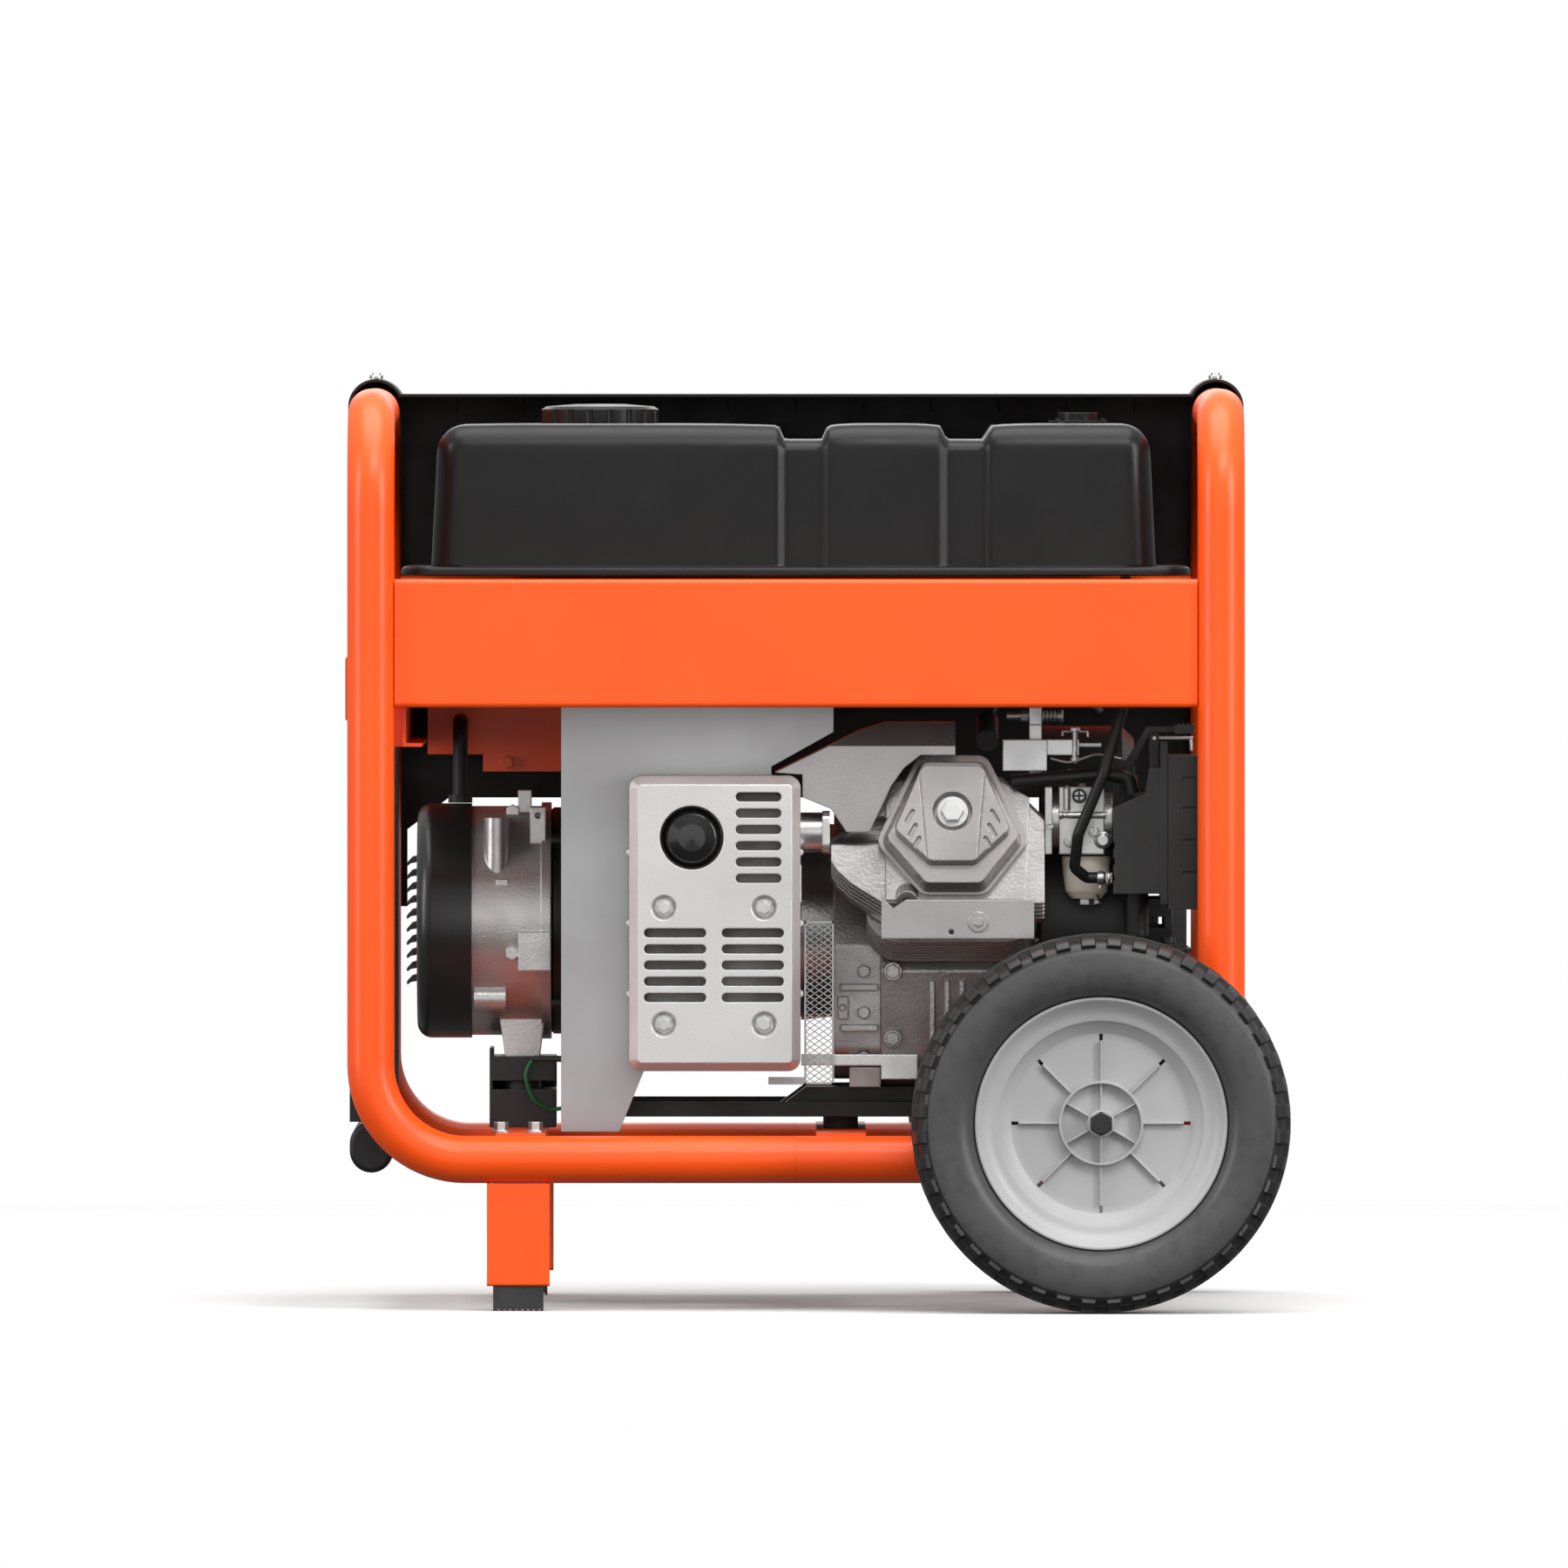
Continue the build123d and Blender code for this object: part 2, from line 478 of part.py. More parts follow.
# Cylinder, head and valve cover stand on planes square to the cylinder axis
with BuildPart() as cylinder:
    with BuildSketch(cylinder_plane(DECK_W)):
        RectangleRounded(110.0, 112.0, 12.0)
    extrude(amount=8.0)
    with BuildSketch(cylinder_plane(DECK_W)):
        Circle(54.0)
    extrude(amount=HEAD_W - DECK_W)
    for count in range(8):
        with BuildSketch(cylinder_plane(DECK_W + 14.0 + count * 8.6)):
            RectangleRounded(138.0, 122.0, 26.0)
        extrude(amount=2.6)
    with BuildSketch(cylinder_plane(DECK_W - 1.0)):
        Circle(44.0)
    extrude(amount=HEAD_W - DECK_W + 2.0, mode=Mode.SUBTRACT)
cylinder.part.label = "cylinder"
export_step(cylinder.part, "parts/cylinder.step")

HEAD_FINS = 5


def fin_outline(drop):
    """Outline of a cooling fin; the fins nearer the crankcase reach further down."""
    return ((54.0, 326.0 - drop), (184.0, 326.0 - drop), (184.0, 392.0), (150.0, 424.0), (64.0, 424.0),
            (40.0, 392.0), (12.0, 374.0), (12.0, 360.0 - drop), (17.0, 352.0 - drop), (28.0, 342.0 - drop))


with BuildPart() as cylinder_head:
    outline_on(HEAD_W, fin_outline(16.0), 14.0)
    outline_on(HEAD_W + 14.0, ((56.0, 318.0), (168.0, 318.0), (172.0, 400.0), (140.0, 418.0),
                               (76.0, 418.0), (56.0, 396.0)), COVER_W - HEAD_W - 14.0)
    for count in range(HEAD_FINS):
        outline_on(HEAD_W + 18.0 + count * 8.4, fin_outline((HEAD_FINS - 1 - count) * 3.2), 3.0)
    with BuildSketch(cylinder_plane(HEAD_W - 1.0)):
        Circle(44.0)
    extrude(amount=9.0, mode=Mode.SUBTRACT)
    rod((6.0, PIPE_Y, PIPE_Z), (1, 0, 0), 13.0, 80.0, Mode.SUBTRACT)
    rod((72.9, -150.0, 346.0), (0, -0.94, -0.34), 8.9, 52.0)
    rod((72.9, -190.0, 331.5), (0, -0.94, -0.34), 3.6, 22.0, Mode.SUBTRACT)
cylinder_head.part.label = "cylinder_head"
export_step(cylinder_head.part, "parts/cylinder_head.step")

COVER_OUTER = ((48.0, 374.0), (85.0, 332.0), (136.5, 332.0), (172.0, 376.0), (137.0, 444.0), (82.0, 444.0))
COVER_RAISED = ((61.0, 384.0), (91.0, 357.0), (128.0, 357.0), (158.0, 384.0), (135.0, 437.0), (84.0, 437.0))


def rounded_on(w, points, amount, corner, mode=Mode.ADD, taper=0.0):
    """Extrude an (x, z) outline with rounded corners along the cylinder axis."""
    local = [(x - CYL_X, up_face(z, w)) for x, z in points]
    with BuildSketch(cylinder_plane(w)) as face:
        with BuildLine():
            Polyline(*local, close=True)
        make_face()
        fillet(face.vertices(), corner)
    extrude(face.sketch, amount=amount, mode=mode, taper=taper)


with BuildPart() as valve_cover:
    rounded_on(COVER_W, COVER_OUTER, 7.0, 12.0)
    rounded_on(COVER_W + 7.0, [(CYL_X + (x - CYL_X) * 0.93, 386 + (z - 386) * 0.93) for x, z in COVER_OUTER],
               16.0, 11.0, taper=14)
    rounded_on(COVER_W + 22.0, COVER_RAISED, 10.0, 9.0, taper=12)
    with BuildSketch(cylinder_plane(COVER_W + 20.0)):
        with Locations((0, up_face(400.6, COVER_W + 30))):
            Circle(16.0)
    extrude(amount=20.0, mode=Mode.SUBTRACT)
    with BuildSketch(cylinder_plane(COVER_W + 29.0)):
        for side in (-1, 1):
            for offset_x, height in ((34.3, 396.6), (32.0, 385.4), (29.0, 375.0)):
                with Locations(Location((side * offset_x, up_face(height, COVER_W + 30), 0), (0, 0, side * -60))):
                    SlotOverall(13.0, 3.4)
    extrude(amount=6.0, mode=Mode.SUBTRACT)
    for side in (-1, 1):
        crease = [(side * 18.6, up_face(352.0, COVER_W + 30)), (side * 26.6, up_face(442.0, COVER_W + 30)),
                  (side * 28.0, up_face(442.0, COVER_W + 30)), (side * 20.0, up_face(352.0, COVER_W + 30))]
        with BuildSketch(cylinder_plane(COVER_W + 31.0)):
            with BuildLine():
                Polyline(*crease, close=True)
            make_face()
        extrude(amount=6.0, mode=Mode.SUBTRACT)
valve_cover.part.label = "valve_cover"
export_step(valve_cover.part, "parts/valve_cover.step")

# Sheet-metal shroud that leads the cooling air over the cylinder, and the guard below it
SHROUD_TOP = ((112.0, 471.8), (56.6, 471.8), (34.0, 465.0), (-33.0, 432.0))
SHROUD_FOOT = ((-24.0, 431.2), (-11.0, 430.4), (-11.0, 412.0), (12.0, 402.6), (24.4, 384.0), (43.0, 384.0),
               (60.9, 422.0), (71.0, 436.0), (84.0, 446.0), (112.0, 446.0))
SHROUD_Y = (-186.0, -60.0)
GUARD_X = (52.5, 175.4)
GUARD_Z = (298.6, 333.0)


def shroud_volume(inset, foot):
    """Space under the shroud, with its front edge sloped back."""
    with BuildPart() as volume:
        top = [(x, z - inset) for x, z in SHROUD_TOP]
        plate_xz(top + list(foot), (SHROUD_Y[0] + inset, SHROUD_Y[1] + inset))
        y = SHROUD_Y[0] + inset
        slope = ((y - 1.0, 452.5 - inset), (y + 24.0, 473.5 - inset), (y - 1.0, 480.0))
        prism_yz(slope, (-60.0, 140.0), Mode.SUBTRACT)
    return volume.part


with BuildPart() as cylinder_shroud:
    add(shroud_volume(0.0, SHROUD_FOOT))
    add(shroud_volume(2.0, ((-60.0, 380.0), (130.0, 300.0))), mode=Mode.SUBTRACT)
    guard = ((GUARD_X[0], GUARD_Z[0]), (GUARD_X[1], GUARD_Z[0]), (GUARD_X[1], 330.0), (72.0, 330.0),
             (62.0, 323.0), (GUARD_X[0], GUARD_Z[1]))
    plate_xz(guard, (-212.0, -210.0))
    block(GUARD_X, (-210.0, -150.0), (GUARD_Z[0], GUARD_Z[0] + 2.0))
    block((GUARD_X[1] - 2.0, GUARD_X[1]), (-210.0, -202.0), (GUARD_Z[0], 330.0))
    rod((130.5, -213.5, 312.0), (0, 1, 0), 8.0, 2.5)
    hexagon((130.5, -213.5, 312.0), (0, -1, 0), 7.0, 2.0)
    rod((108.8, -214.0, 304.0), (0, 1, 0), 2.2, 8.0, Mode.SUBTRACT)
cylinder_shroud.part.label = "cylinder_shroud"
export_step(cylinder_shroud.part, "parts/cylinder_shroud.step")

with BuildPart() as blower_housing:
    x = BLOWER_X
    on_crank(((x[0], BLOWER_R - 2), (x[0], BLOWER_R), (x[1] - 10, BLOWER_R), (x[1], BLOWER_R - 10),
              (x[1], 96), (x[1] - 2, 96), (x[1] - 2, BLOWER_R - 11), (x[1] - 11, BLOWER_R - 2)))
    for angle in (35, 145, 215, 325):
        y = AXIS_Y + 128 * cos(radians(angle))
        z = AXIS_Z + 128 * sin(radians(angle))
        rod((x[0] - 2, y, z), (1, 0, 0), 8.0, x[1] - x[0] + 2)
        hexagon((x[1], y, z), (1, 0, 0), 10.0, 6.0)
blower_housing.part.label = "blower_housing"
export_step(blower_housing.part, "parts/blower_housing.step")

GRIP_AT = (RECOIL_X[1], 112.0, 385.0)
with BuildPart() as recoil_starter_cover:
    x = RECOIL_X
    on_crank(((x[0], RECOIL_R), (x[0], RECOIL_R + 14), (x[0] + 3, RECOIL_R + 14), (x[0] + 3, RECOIL_R),
              (x[1] - 12, RECOIL_R), (x[1], RECOIL_R - 12), (x[1], 0), (x[1] - 2.5, 0),
              (x[1] - 2.5, RECOIL_R - 13), (x[1] - 13, RECOIL_R - 2.5), (x[0] + 3, RECOIL_R - 2.5),
              (x[0], RECOIL_R - 2.5)))
    for count in range(12):
        angle = radians(count * 30)
        direction = (0, cos(angle), sin(angle))
        with BuildSketch(Plane(origin=(x[1] - 4, AXIS_Y, AXIS_Z), x_dir=direction, z_dir=(1, 0, 0))):
            with Locations((66.0, 0.0)):
                SlotOverall(34.0, 9.0)
        extrude(amount=6.0, mode=Mode.SUBTRACT)
    for count in range(28):
        angle = radians(count * 360 / 28)
        direction = (0, cos(angle), sin(angle))
        with BuildSketch(Plane(origin=(x[0] + 8, AXIS_Y, AXIS_Z), x_dir=direction, z_dir=(1, 0, 0))):
            with Locations((RECOIL_R, 0.0)):
                Rectangle(12.0, 9.0)
        extrude(amount=16.0, mode=Mode.SUBTRACT)
    rod((x[1] - 20, GRIP_AT[1], GRIP_AT[2]), (1, 0, 0), 11.0, 23.0)
    rod((x[1] - 21, GRIP_AT[1], GRIP_AT[2]), (1, 0, 0), 4.0, 30.0, Mode.SUBTRACT)
recoil_starter_cover.part.label = "recoil_starter_cover"
export_step(recoil_starter_cover.part, "parts/recoil_starter_cover.step")

with BuildPart() as recoil_grip:
    start = RECOIL_X[1] + 3.0 + GAP
    block((start, start + 20.0), (GRIP_AT[1] - 38, GRIP_AT[1] + 38), (GRIP_AT[2] - 11, GRIP_AT[2] + 11))
    fillet(recoil_grip.edges().filter_by(Axis.Y), 8.0)
    fillet(recoil_grip.edges().group_by(Axis.Y)[0], 3.0)
    fillet(recoil_grip.edges().group_by(Axis.Y)[-1], 3.0)
    rod((RECOIL_X[1] - 12, GRIP_AT[1], GRIP_AT[2]), (1, 0, 0), 2.5, 20.0)
recoil_grip.part.label = "recoil_grip"
export_step(recoil_grip.part, "parts/recoil_grip.step")

# ---------------------------------------------------------------- fuel and intake
CARB_Y = -142.0
with BuildPart() as carburetor_body:
    rod((184.5, CARB_Y, 393.0), (1, 0, 0), 22.0, 54.5)
    block((196.0, 232.0), (CARB_Y - 24, CARB_Y + 24), (366.0, 420.0))
    block((184.5, 190.0), (CARB_Y - 30, CARB_Y + 30), (366.0, 420.0))
    rod((218.0, CARB_Y, 365.0), (0, 0, 1), 21.0, 12.0)
    for x, z, radius in ((212.0, 413.0, 5.6), (224.0, 384.0, 4.0), (204.0, 376.0, 4.0)):
        rod((x, CARB_Y - 20, z), (0, -1, 0), radius, 10.0)
    rod((214.0, CARB_Y, 418.0), (0, 0, 1), 3.0, 16.0)
    block((203.0, 226.0), (CARB_Y - 4, CARB_Y + 4), (431.0, 434.0))
    rod((184.0, CARB_Y, 393.0), (1, 0, 0), 14.0, 56.0, Mode.SUBTRACT)
carburetor_body.part.label = "carburetor_body"
export_step(carburetor_body.part, "parts/carburetor_body.step")

with BuildPart() as float_bowl:
    turned(((330.0, 0), (330.0, 12), (336.0, 17), (350.0, 19), (362.0, 19.6), (365.0, 19.6), (365.0, 0)),
           (218.0, CARB_Y, 0), (0, 0, 1), (0, -1, 0))
    hexagon((218.0, CARB_Y, 325.0), (0, 0, 1), 11.0, 6.0)
    rod((233.0, CARB_Y - 29, 347.0), (1, 0, 0), 3.4, 5.0)
    block((234.0, 238.4), (CARB_Y - 33, CARB_Y - 4), (343.0, 351.0))
float_bowl.part.label = "float_bowl"
export_step(float_bowl.part, "parts/float_bowl.step")

with BuildPart() as governor_bracket:
    block((172.0, 182.0), (-132.0, -129.0), (424.5, 484.0))
    block((172.0, 230.0), (-129.0, -115.0), (452.0, 455.0))
    block((150.5, 186.0), (-158.0, -132.0), (433.0, 458.0))
    block((187.6, 212.0), (-146.0, -143.0), (445.5, 458.0))
    block((186.0, 190.0), (-146.0, -129.0), (445.5, 458.0))
    rod((153.5, -138.0, 477.0), (1, 0, 0), 3.0, 46.0)
    for x in (182.5, 185.5, 188.5, 191.5, 194.5):
        rod((x, -138.0, 477.0), (1, 0, 0), 4.6, 1.6)
    hexagon((195.5, -138.0, 477.0), (1, 0, 0), 8.0, 4.0)
    block((172.0, 182.0), (-142.0, -129.0), (470.0, 484.0))
    rod((208.6, -150.0, 439.0), (0, 0, 1), 2.1, 28.6)
    block((207.0, 210.2), (-152.0, -143.0), (448.0, 452.0))
governor_bracket.part.label = "governor_bracket"
export_step(governor_bracket.part, "parts/governor_bracket.step")

FILTER_Y = (-205.0, -114.0)
LATCH_Y = (-176.0, -142.0)
LATCH_X = 272.3
LATCH_Z = 459.5
LEVER_AT = (250.6, 434.7)
with BuildPart() as air_cleaner_base:
    plate_xz(((239.4, 334.6), (239.4, 404.0), (265.0, 416.0), (268.0, 436.0), (277.0, 436.0),
              (277.0, 334.6)), FILTER_Y)
    block((277.0, 283.0), (FILTER_Y[0] - 3, FILTER_Y[1]), (326.0, 456.0))
    block((283.0, 286.0), (FILTER_Y[0] + 1.6, FILTER_Y[1] - 4.6), (330.0, 438.0))
    rod((258.0, -150.0, 300.0), (0, 0, 1), 10.0, 36.0)
    block((245.0, 256.5), (-140.0, -130.0), (400.0, 441.0))
    rod((LEVER_AT[0], -141.0, LEVER_AT[1]), (0, 1, 0), 2.55, 12.0, Mode.SUBTRACT)
    rod((238.0, CARB_Y, 393.0), (1, 0, 0), 14.0, 50.0, Mode.SUBTRACT)
    for z in (345.0, 358.0, 371.0):
        block((238.0, 240.4), (FILTER_Y[0] - 1, FILTER_Y[1] + 1), (z, z + 5.0), Mode.SUBTRACT)
    for y in (LATCH_Y[0] - 4.5, LATCH_Y[1] + 2.0):
        block((268.4, 276.0), (y, y + 2.5), (434.0, 463.0))
    rod((LATCH_X, LATCH_Y[0] - 6.0, LATCH_Z), (0, 1, 0), 1.55, 46.0, Mode.SUBTRACT)
air_cleaner_base.part.label = "air_cleaner_base"
export_step(air_cleaner_base.part, "parts/air_cleaner_base.step")

CLEANER_X = (283.4, 345.0)
with BuildPart() as air_cleaner_cover:
    x = CLEANER_X
    block((x[0], x[1]), (FILTER_Y[0] - 3, FILTER_Y[1]), (322.0, 446.0))
    fillet(air_cleaner_cover.edges().group_by(Axis.X)[-1], 12.0)
    block((x[0] - 1, x[1] - 3.5), (FILTER_Y[0] + 1, FILTER_Y[1] - 4), (326.0, 442.0), Mode.SUBTRACT)
    for z in (350.0, 376.0, 402.0, 426.0):
        block((x[0] + 12, x[1] + 1), (FILTER_Y[0] - 4, FILTER_Y[0] - 1.6), (z, z + 2.5), Mode.SUBTRACT)
air_cleaner_cover.part.label = "air_cleaner_cover"
export_step(air_cleaner_cover.part, "parts/air_cleaner_cover.step")

with BuildPart() as air_cleaner_latch:
    y = LATCH_Y
    hook_x = 302.0
    hook_z = 450.5
    for side in y:
        rod((LATCH_X, side, LATCH_Z), (1, 0, 0), 1.4, hook_x + 1.8 - LATCH_X)
        rod((hook_x, side, hook_z - 1.6), (0, 0, 1), 1.3, LATCH_Z - hook_z + 1.6)
    rod((hook_x, y[0] - 1.8, hook_z), (0, 1, 0), 1.2, y[1] - y[0] + 3.6)
    rod((LATCH_X, y[0] - 5.0, LATCH_Z), (0, 1, 0), 1.5, y[1] - y[0] + 10.0)
air_cleaner_latch.part.label = "air_cleaner_latch"
export_step(air_cleaner_latch.part, "parts/air_cleaner_latch.step")

with BuildPart() as choke_lever:
    plate_xz(((247.0, 436.0), (266.5, 468.4), (305.0, 468.4), (305.0, 463.6), (269.6, 463.6), (254.4, 432.4)),
             (-128.5, -125.5))
    block((289.0, 305.0), (-134.0, -120.0), (462.4, 469.6))
    rod((LEVER_AT[0], -128.5, LEVER_AT[1]), (0, 1, 0), 6.0, 3.0)
    rod((LEVER_AT[0], -141.0, LEVER_AT[1]), (0, 1, 0), 2.5, 13.0)
    for x in (292.0, 295.5, 299.0, 302.0):
        block((x, x + 1.4), (-134.0, -120.0), (469.6, 471.0))
choke_lever.part.label = "choke_lever"
export_step(choke_lever.part, "parts/choke_lever.step")

with BuildPart() as breather_hose:
    hose(((158.0, -168.0, 424.0), (231.0, -178.0, 430.5), (251.0, -179.0, 428.0), (254.0, -179.0, 414.5)),
         7.0, 6.0)
breather_hose.part.label = "breather_hose"
export_step(breather_hose.part, "parts/breather_hose.step")

with BuildPart() as fuel_hose:
    hose(((249.0, -188.0, 590.0), (249.0, -188.0, 492.0), (231.0, -192.0, 430.0), (211.0, -186.0, 382.0),
          (208.0, -176.0, 355.0), (218.0, -171.0, 347.0), (233.0, -171.0, 347.0)), 7.0, 4.5)
fuel_hose.part.label = "fuel_hose"
export_step(fuel_hose.part, "parts/fuel_hose.step")

# ---------------------------------------------------------------- exhaust
with BuildPart() as exhaust_pipe:
    rod((-20.0, PIPE_Y, PIPE_Z), (1, 0, 0), 16.0, 30.0)
    rod((-21.0, PIPE_Y, PIPE_Z), (1, 0, 0), 13.5, 40.0, Mode.SUBTRACT)
    with BuildSketch(Plane(origin=(5.0, PIPE_Y, PIPE_Z), x_dir=(0, 1, 0), z_dir=(1, 0, 0))):
        RectangleRounded(54.0, 34.0, 8.0)
        Circle(13.5, mode=Mode.SUBTRACT)
    extrude(amount=6.0)
    block((-12.0, 81.9), (-140.0, -128.0), (195.0, 204.0))
    block((52.5, 82.0), (-140.0, -52.0), (184.0, 195.0))
exhaust_pipe.part.label = "exhaust_pipe"
export_step(exhaust_pipe.part, "parts/exhaust_pipe.step")

BODY_X = (-142.0, -20.0)
BODY_Z = (201.0, 421.0)
BODY_Y = (-204.0, -134.0)
with BuildPart() as muffler_body:
    block(BODY_X, BODY_Y, BODY_Z)
    fillet(muffler_body.edges().filter_by(Axis.Y), 16.0)
    fillet(muffler_body.faces().sort_by(Axis.Y)[0].edges(), 6.0)
    block((BODY_X[0] + 2, BODY_X[1] - 2), (BODY_Y[0] + 2, BODY_Y[1] - 2), (BODY_Z[0] + 2, BODY_Z[1] - 2),
          Mode.SUBTRACT)
    rod((OUTLET[0], BODY_Y[0] + 4, OUTLET[1]), (0, -1, 0), 22.0, 12.0)
    rod((OUTLET[0], BODY_Y[0] + 5, OUTLET[1]), (0, -1, 0), 19.5, 14.0, Mode.SUBTRACT)
muffler_body.part.label = "muffler_body"
export_step(muffler_body.part, "parts/muffler_body.step")

SHIELD_MID = ((MUFFLER_X[0] + MUFFLER_X[1]) / 2, (MUFFLER_Z[0] + MUFFLER_Z[1]) / 2)
SHIELD_SIZE = (MUFFLER_X[1] - MUFFLER_X[0], MUFFLER_Z[1] - MUFFLER_Z[0])
DIMPLES = [(x, z) for x in (-122.5, -41.8) for z in (323.6, 229.9)]


def shield_section(y, inset, corner):
    """Outline of the muffler shield at one depth."""
    with BuildSketch(Plane(origin=(0, y, 0), x_dir=(1, 0, 0), z_dir=(0, -1, 0))) as section:
        with Locations(SHIELD_MID):
            RectangleRounded(SHIELD_SIZE[0] - 2 * inset, SHIELD_SIZE[1] - 2 * inset, corner)
    return section.sketch


with BuildPart() as muffler_shield:
    depth = MUFFLER_BACK_Y - MUFFLER_FACE_Y
    extrude(shield_section(MUFFLER_BACK_Y, 0.0, 10.0), amount=depth)
    chamfer(muffler_shield.faces().sort_by(Axis.Y)[0].edges(), 7.0)
    offset(amount=-2.2, openings=muffler_shield.faces().sort_by(Axis.Y)[-1])
    for z in (368.0, 311.0, 254.0):
        for x in (MUFFLER_X[0], MUFFLER_X[1]):
            rod((x, MUFFLER_FACE_Y + 11, z), (0, 1, 0), 2.4, depth - 11.0)
    with BuildSketch(Plane(origin=(0, MUFFLER_FACE_Y + 6, 0), x_dir=(1, 0, 0), z_dir=(0, -1, 0))):
        with Locations(OUTLET):
            Circle(25.7)
        with Locations(*[(-46.4, 412.8 - 13.1 * row) for row in range(6)]):
            SlotOverall(36.8, 7.4)
        for column in (-113.5, -51.0):
            with Locations(*[(column, 303.4 - 13.0 * row) for row in range(5)]):
                SlotOverall(50.0, 7.4)
    extrude(amount=10.0, mode=Mode.SUBTRACT)
    rod((MUFFLER_X[1] - 6, PIPE_Y, PIPE_Z), (1, 0, 0), 16.6, 12.0, Mode.SUBTRACT)
    for x, z in DIMPLES:
        turned(((0, 0), (0, 10.3), (-4.0, 7.0), (-4.0, 0)), (x, MUFFLER_FACE_Y, z), (0, -1, 0), (1, 0, 0),
               Mode.SUBTRACT)
        turned(((-6.0, 0), (-6.0, 9.5), (-2.0, 9.5), (-2.0, 8.9), (-4.0, 7.2), (-4.0, 0)), (x, MUFFLER_FACE_Y, z),
               (0, -1, 0), (1, 0, 0))
muffler_shield.part.label = "muffler_shield"
export_step(muffler_shield.part, "parts/muffler_shield.step")

with BuildPart() as spark_arrestor:
    turned(((-12.0, 0), (-12.0, 19.0), (-6.0, 19.0), (-6.0, 23.9), (-2.0, 23.9), (2.0, 19.0), (4.4, 11.0),
            (5.2, 0)), (OUTLET[0], MUFFLER_FACE_Y + 4.0, OUTLET[1]), (0, -1, 0), (1, 0, 0))
spark_arrestor.part.label = "spark_arrestor"
export_step(spark_arrestor.part, "parts/spark_arrestor.step")

MESH_X = (-9.8, 14.4)
MESH_Z = (180.0, 311.5)
with BuildPart() as muffler_guard_mesh:
    y = (-152.0, -150.5)
    block(MESH_X, y, MESH_Z)
    with BuildSketch(Plane(origin=(0, y[1] + 1, 0), x_dir=(1, 0, 0), z_dir=(0, -1, 0))):
        rows = 13
        for row in range(rows):
            z = MESH_Z[0] + 10.0 + row * 9.4
            for x in (-6.0, 1.0, 8.0):
                with Locations((x, z)):
                    Polygon((-3.0, 0), (0, -4.0), (3.0, 0), (0, 4.0))
    extrude(amount=4.0, mode=Mode.SUBTRACT)
    block((-38.5, 14.4), (-152.0, -150.5), (180.0, 186.0))
muffler_guard_mesh.part.label = "muffler_guard_mesh"
export_step(muffler_guard_mesh.part, "parts/muffler_guard_mesh.step")

with BuildPart() as heat_shield_plate:
    plate_xz(((-205.8, 141.4), (-205.8, 484.0), (14.0, 484.0), (14.0, 464.0), (-36.0, 436.0), (-36.0, 195.0),
              (-137.0, 195.0), (-158.9, 141.4)), PLATE_Y)
    block((-205.8, -203.8), (PLATE_Y[1], PLATE_Y[1] + 16.0), (145.0, 480.0))
heat_shield_plate.part.label = "heat_shield_plate"
export_step(heat_shield_plate.part, "parts/heat_shield_plate.step")

# ---------------------------------------------------------------- fuel tank
GROOVES = ((-31.5, 10.5), (99.0, 141.4))
with BuildPart() as fuel_tank:
    block(TANK_X, TANK_Y, (TANK_Z[0] + 6, TANK_Z[1]))
    fillet(fuel_tank.edges().filter_by(Axis.Z), 22.0)
    fillet(fuel_tank.faces().sort_by(Axis.Z)[-1].edges(), 16.0)
    for x in GROOVES:
        middle = (x[0] + x[1]) / 2
        for y, outward in ((TANK_Y[0], -1), (TANK_Y[1], 1)):
            block((middle - 15, middle + 15), (y - 1, y + 7) if outward < 0 else (y - 7, y + 1),
                  (TANK_Z[0], TANK_Z[1] + 1), Mode.SUBTRACT)
        block((middle - 15, middle + 15), (TANK_Y[0] - 1, TANK_Y[1] + 1), (TANK_Z[1] - 14, TANK_Z[1] + 1),
              Mode.SUBTRACT)
    with BuildSketch(Plane.XY.offset(TANK_Z[0])):
        with Locations(((TANK_X[0] + TANK_X[1]) / 2, (TANK_Y[0] + TANK_Y[1]) / 2)):
            RectangleRounded(TANK_X[1] - TANK_X[0] + 17, TANK_Y[1] - TANK_Y[0] + 2, 24.0)
    extrude(amount=6.0)
    rod((CAP_XY[0], CAP_XY[1], TANK_Z[1] - 4), (0, 0, 1), NECK_R, NECK_TOP_Z - TANK_Z[1] + 4)
    block((TANK_X[0] + 8, GROOVES[0][0] - 3), (TANK_Y[0] + 10, TANK_Y[1] - 10),
          (TANK_Z[0] + 3, TANK_Z[1] - 4), Mode.SUBTRACT)
    block((GROOVES[1][1] + 3, TANK_X[1] - 8), (TANK_Y[0] + 10, TANK_Y[1] - 10),
          (TANK_Z[0] + 3, TANK_Z[1] - 4), Mode.SUBTRACT)
    block((GROOVES[0][0] - 4, GROOVES[1][1] + 4), (TANK_Y[0] + 10, TANK_Y[1] - 10),
          (TANK_Z[0] + 3, TANK_Z[1] - 17), Mode.SUBTRACT)
    rod((CAP_XY[0], CAP_XY[1], TANK_Z[1] - 20), (0, 0, 1), 30.0, 60.0, Mode.SUBTRACT)
    for x in (-322.0, 289.0):
        for y in (-205.0, 183.0):
            rod((x, y, CHANNEL_Z[1] + 0.5), (0, 0, 1), 12.0, 12.0)
            hexagon((x, y, CHANNEL_Z[1] + 12.5), (0, 0, 1), 10.0, 7.0)
            block((min(x, x * 0.95), max(x, x * 0.95)), (y - 9, y + 9), (TANK_Z[0] + 1, TANK_Z[0] + 5))
fuel_tank.part.label = "fuel_tank"
export_step(fuel_tank.part, "parts/fuel_tank.step")

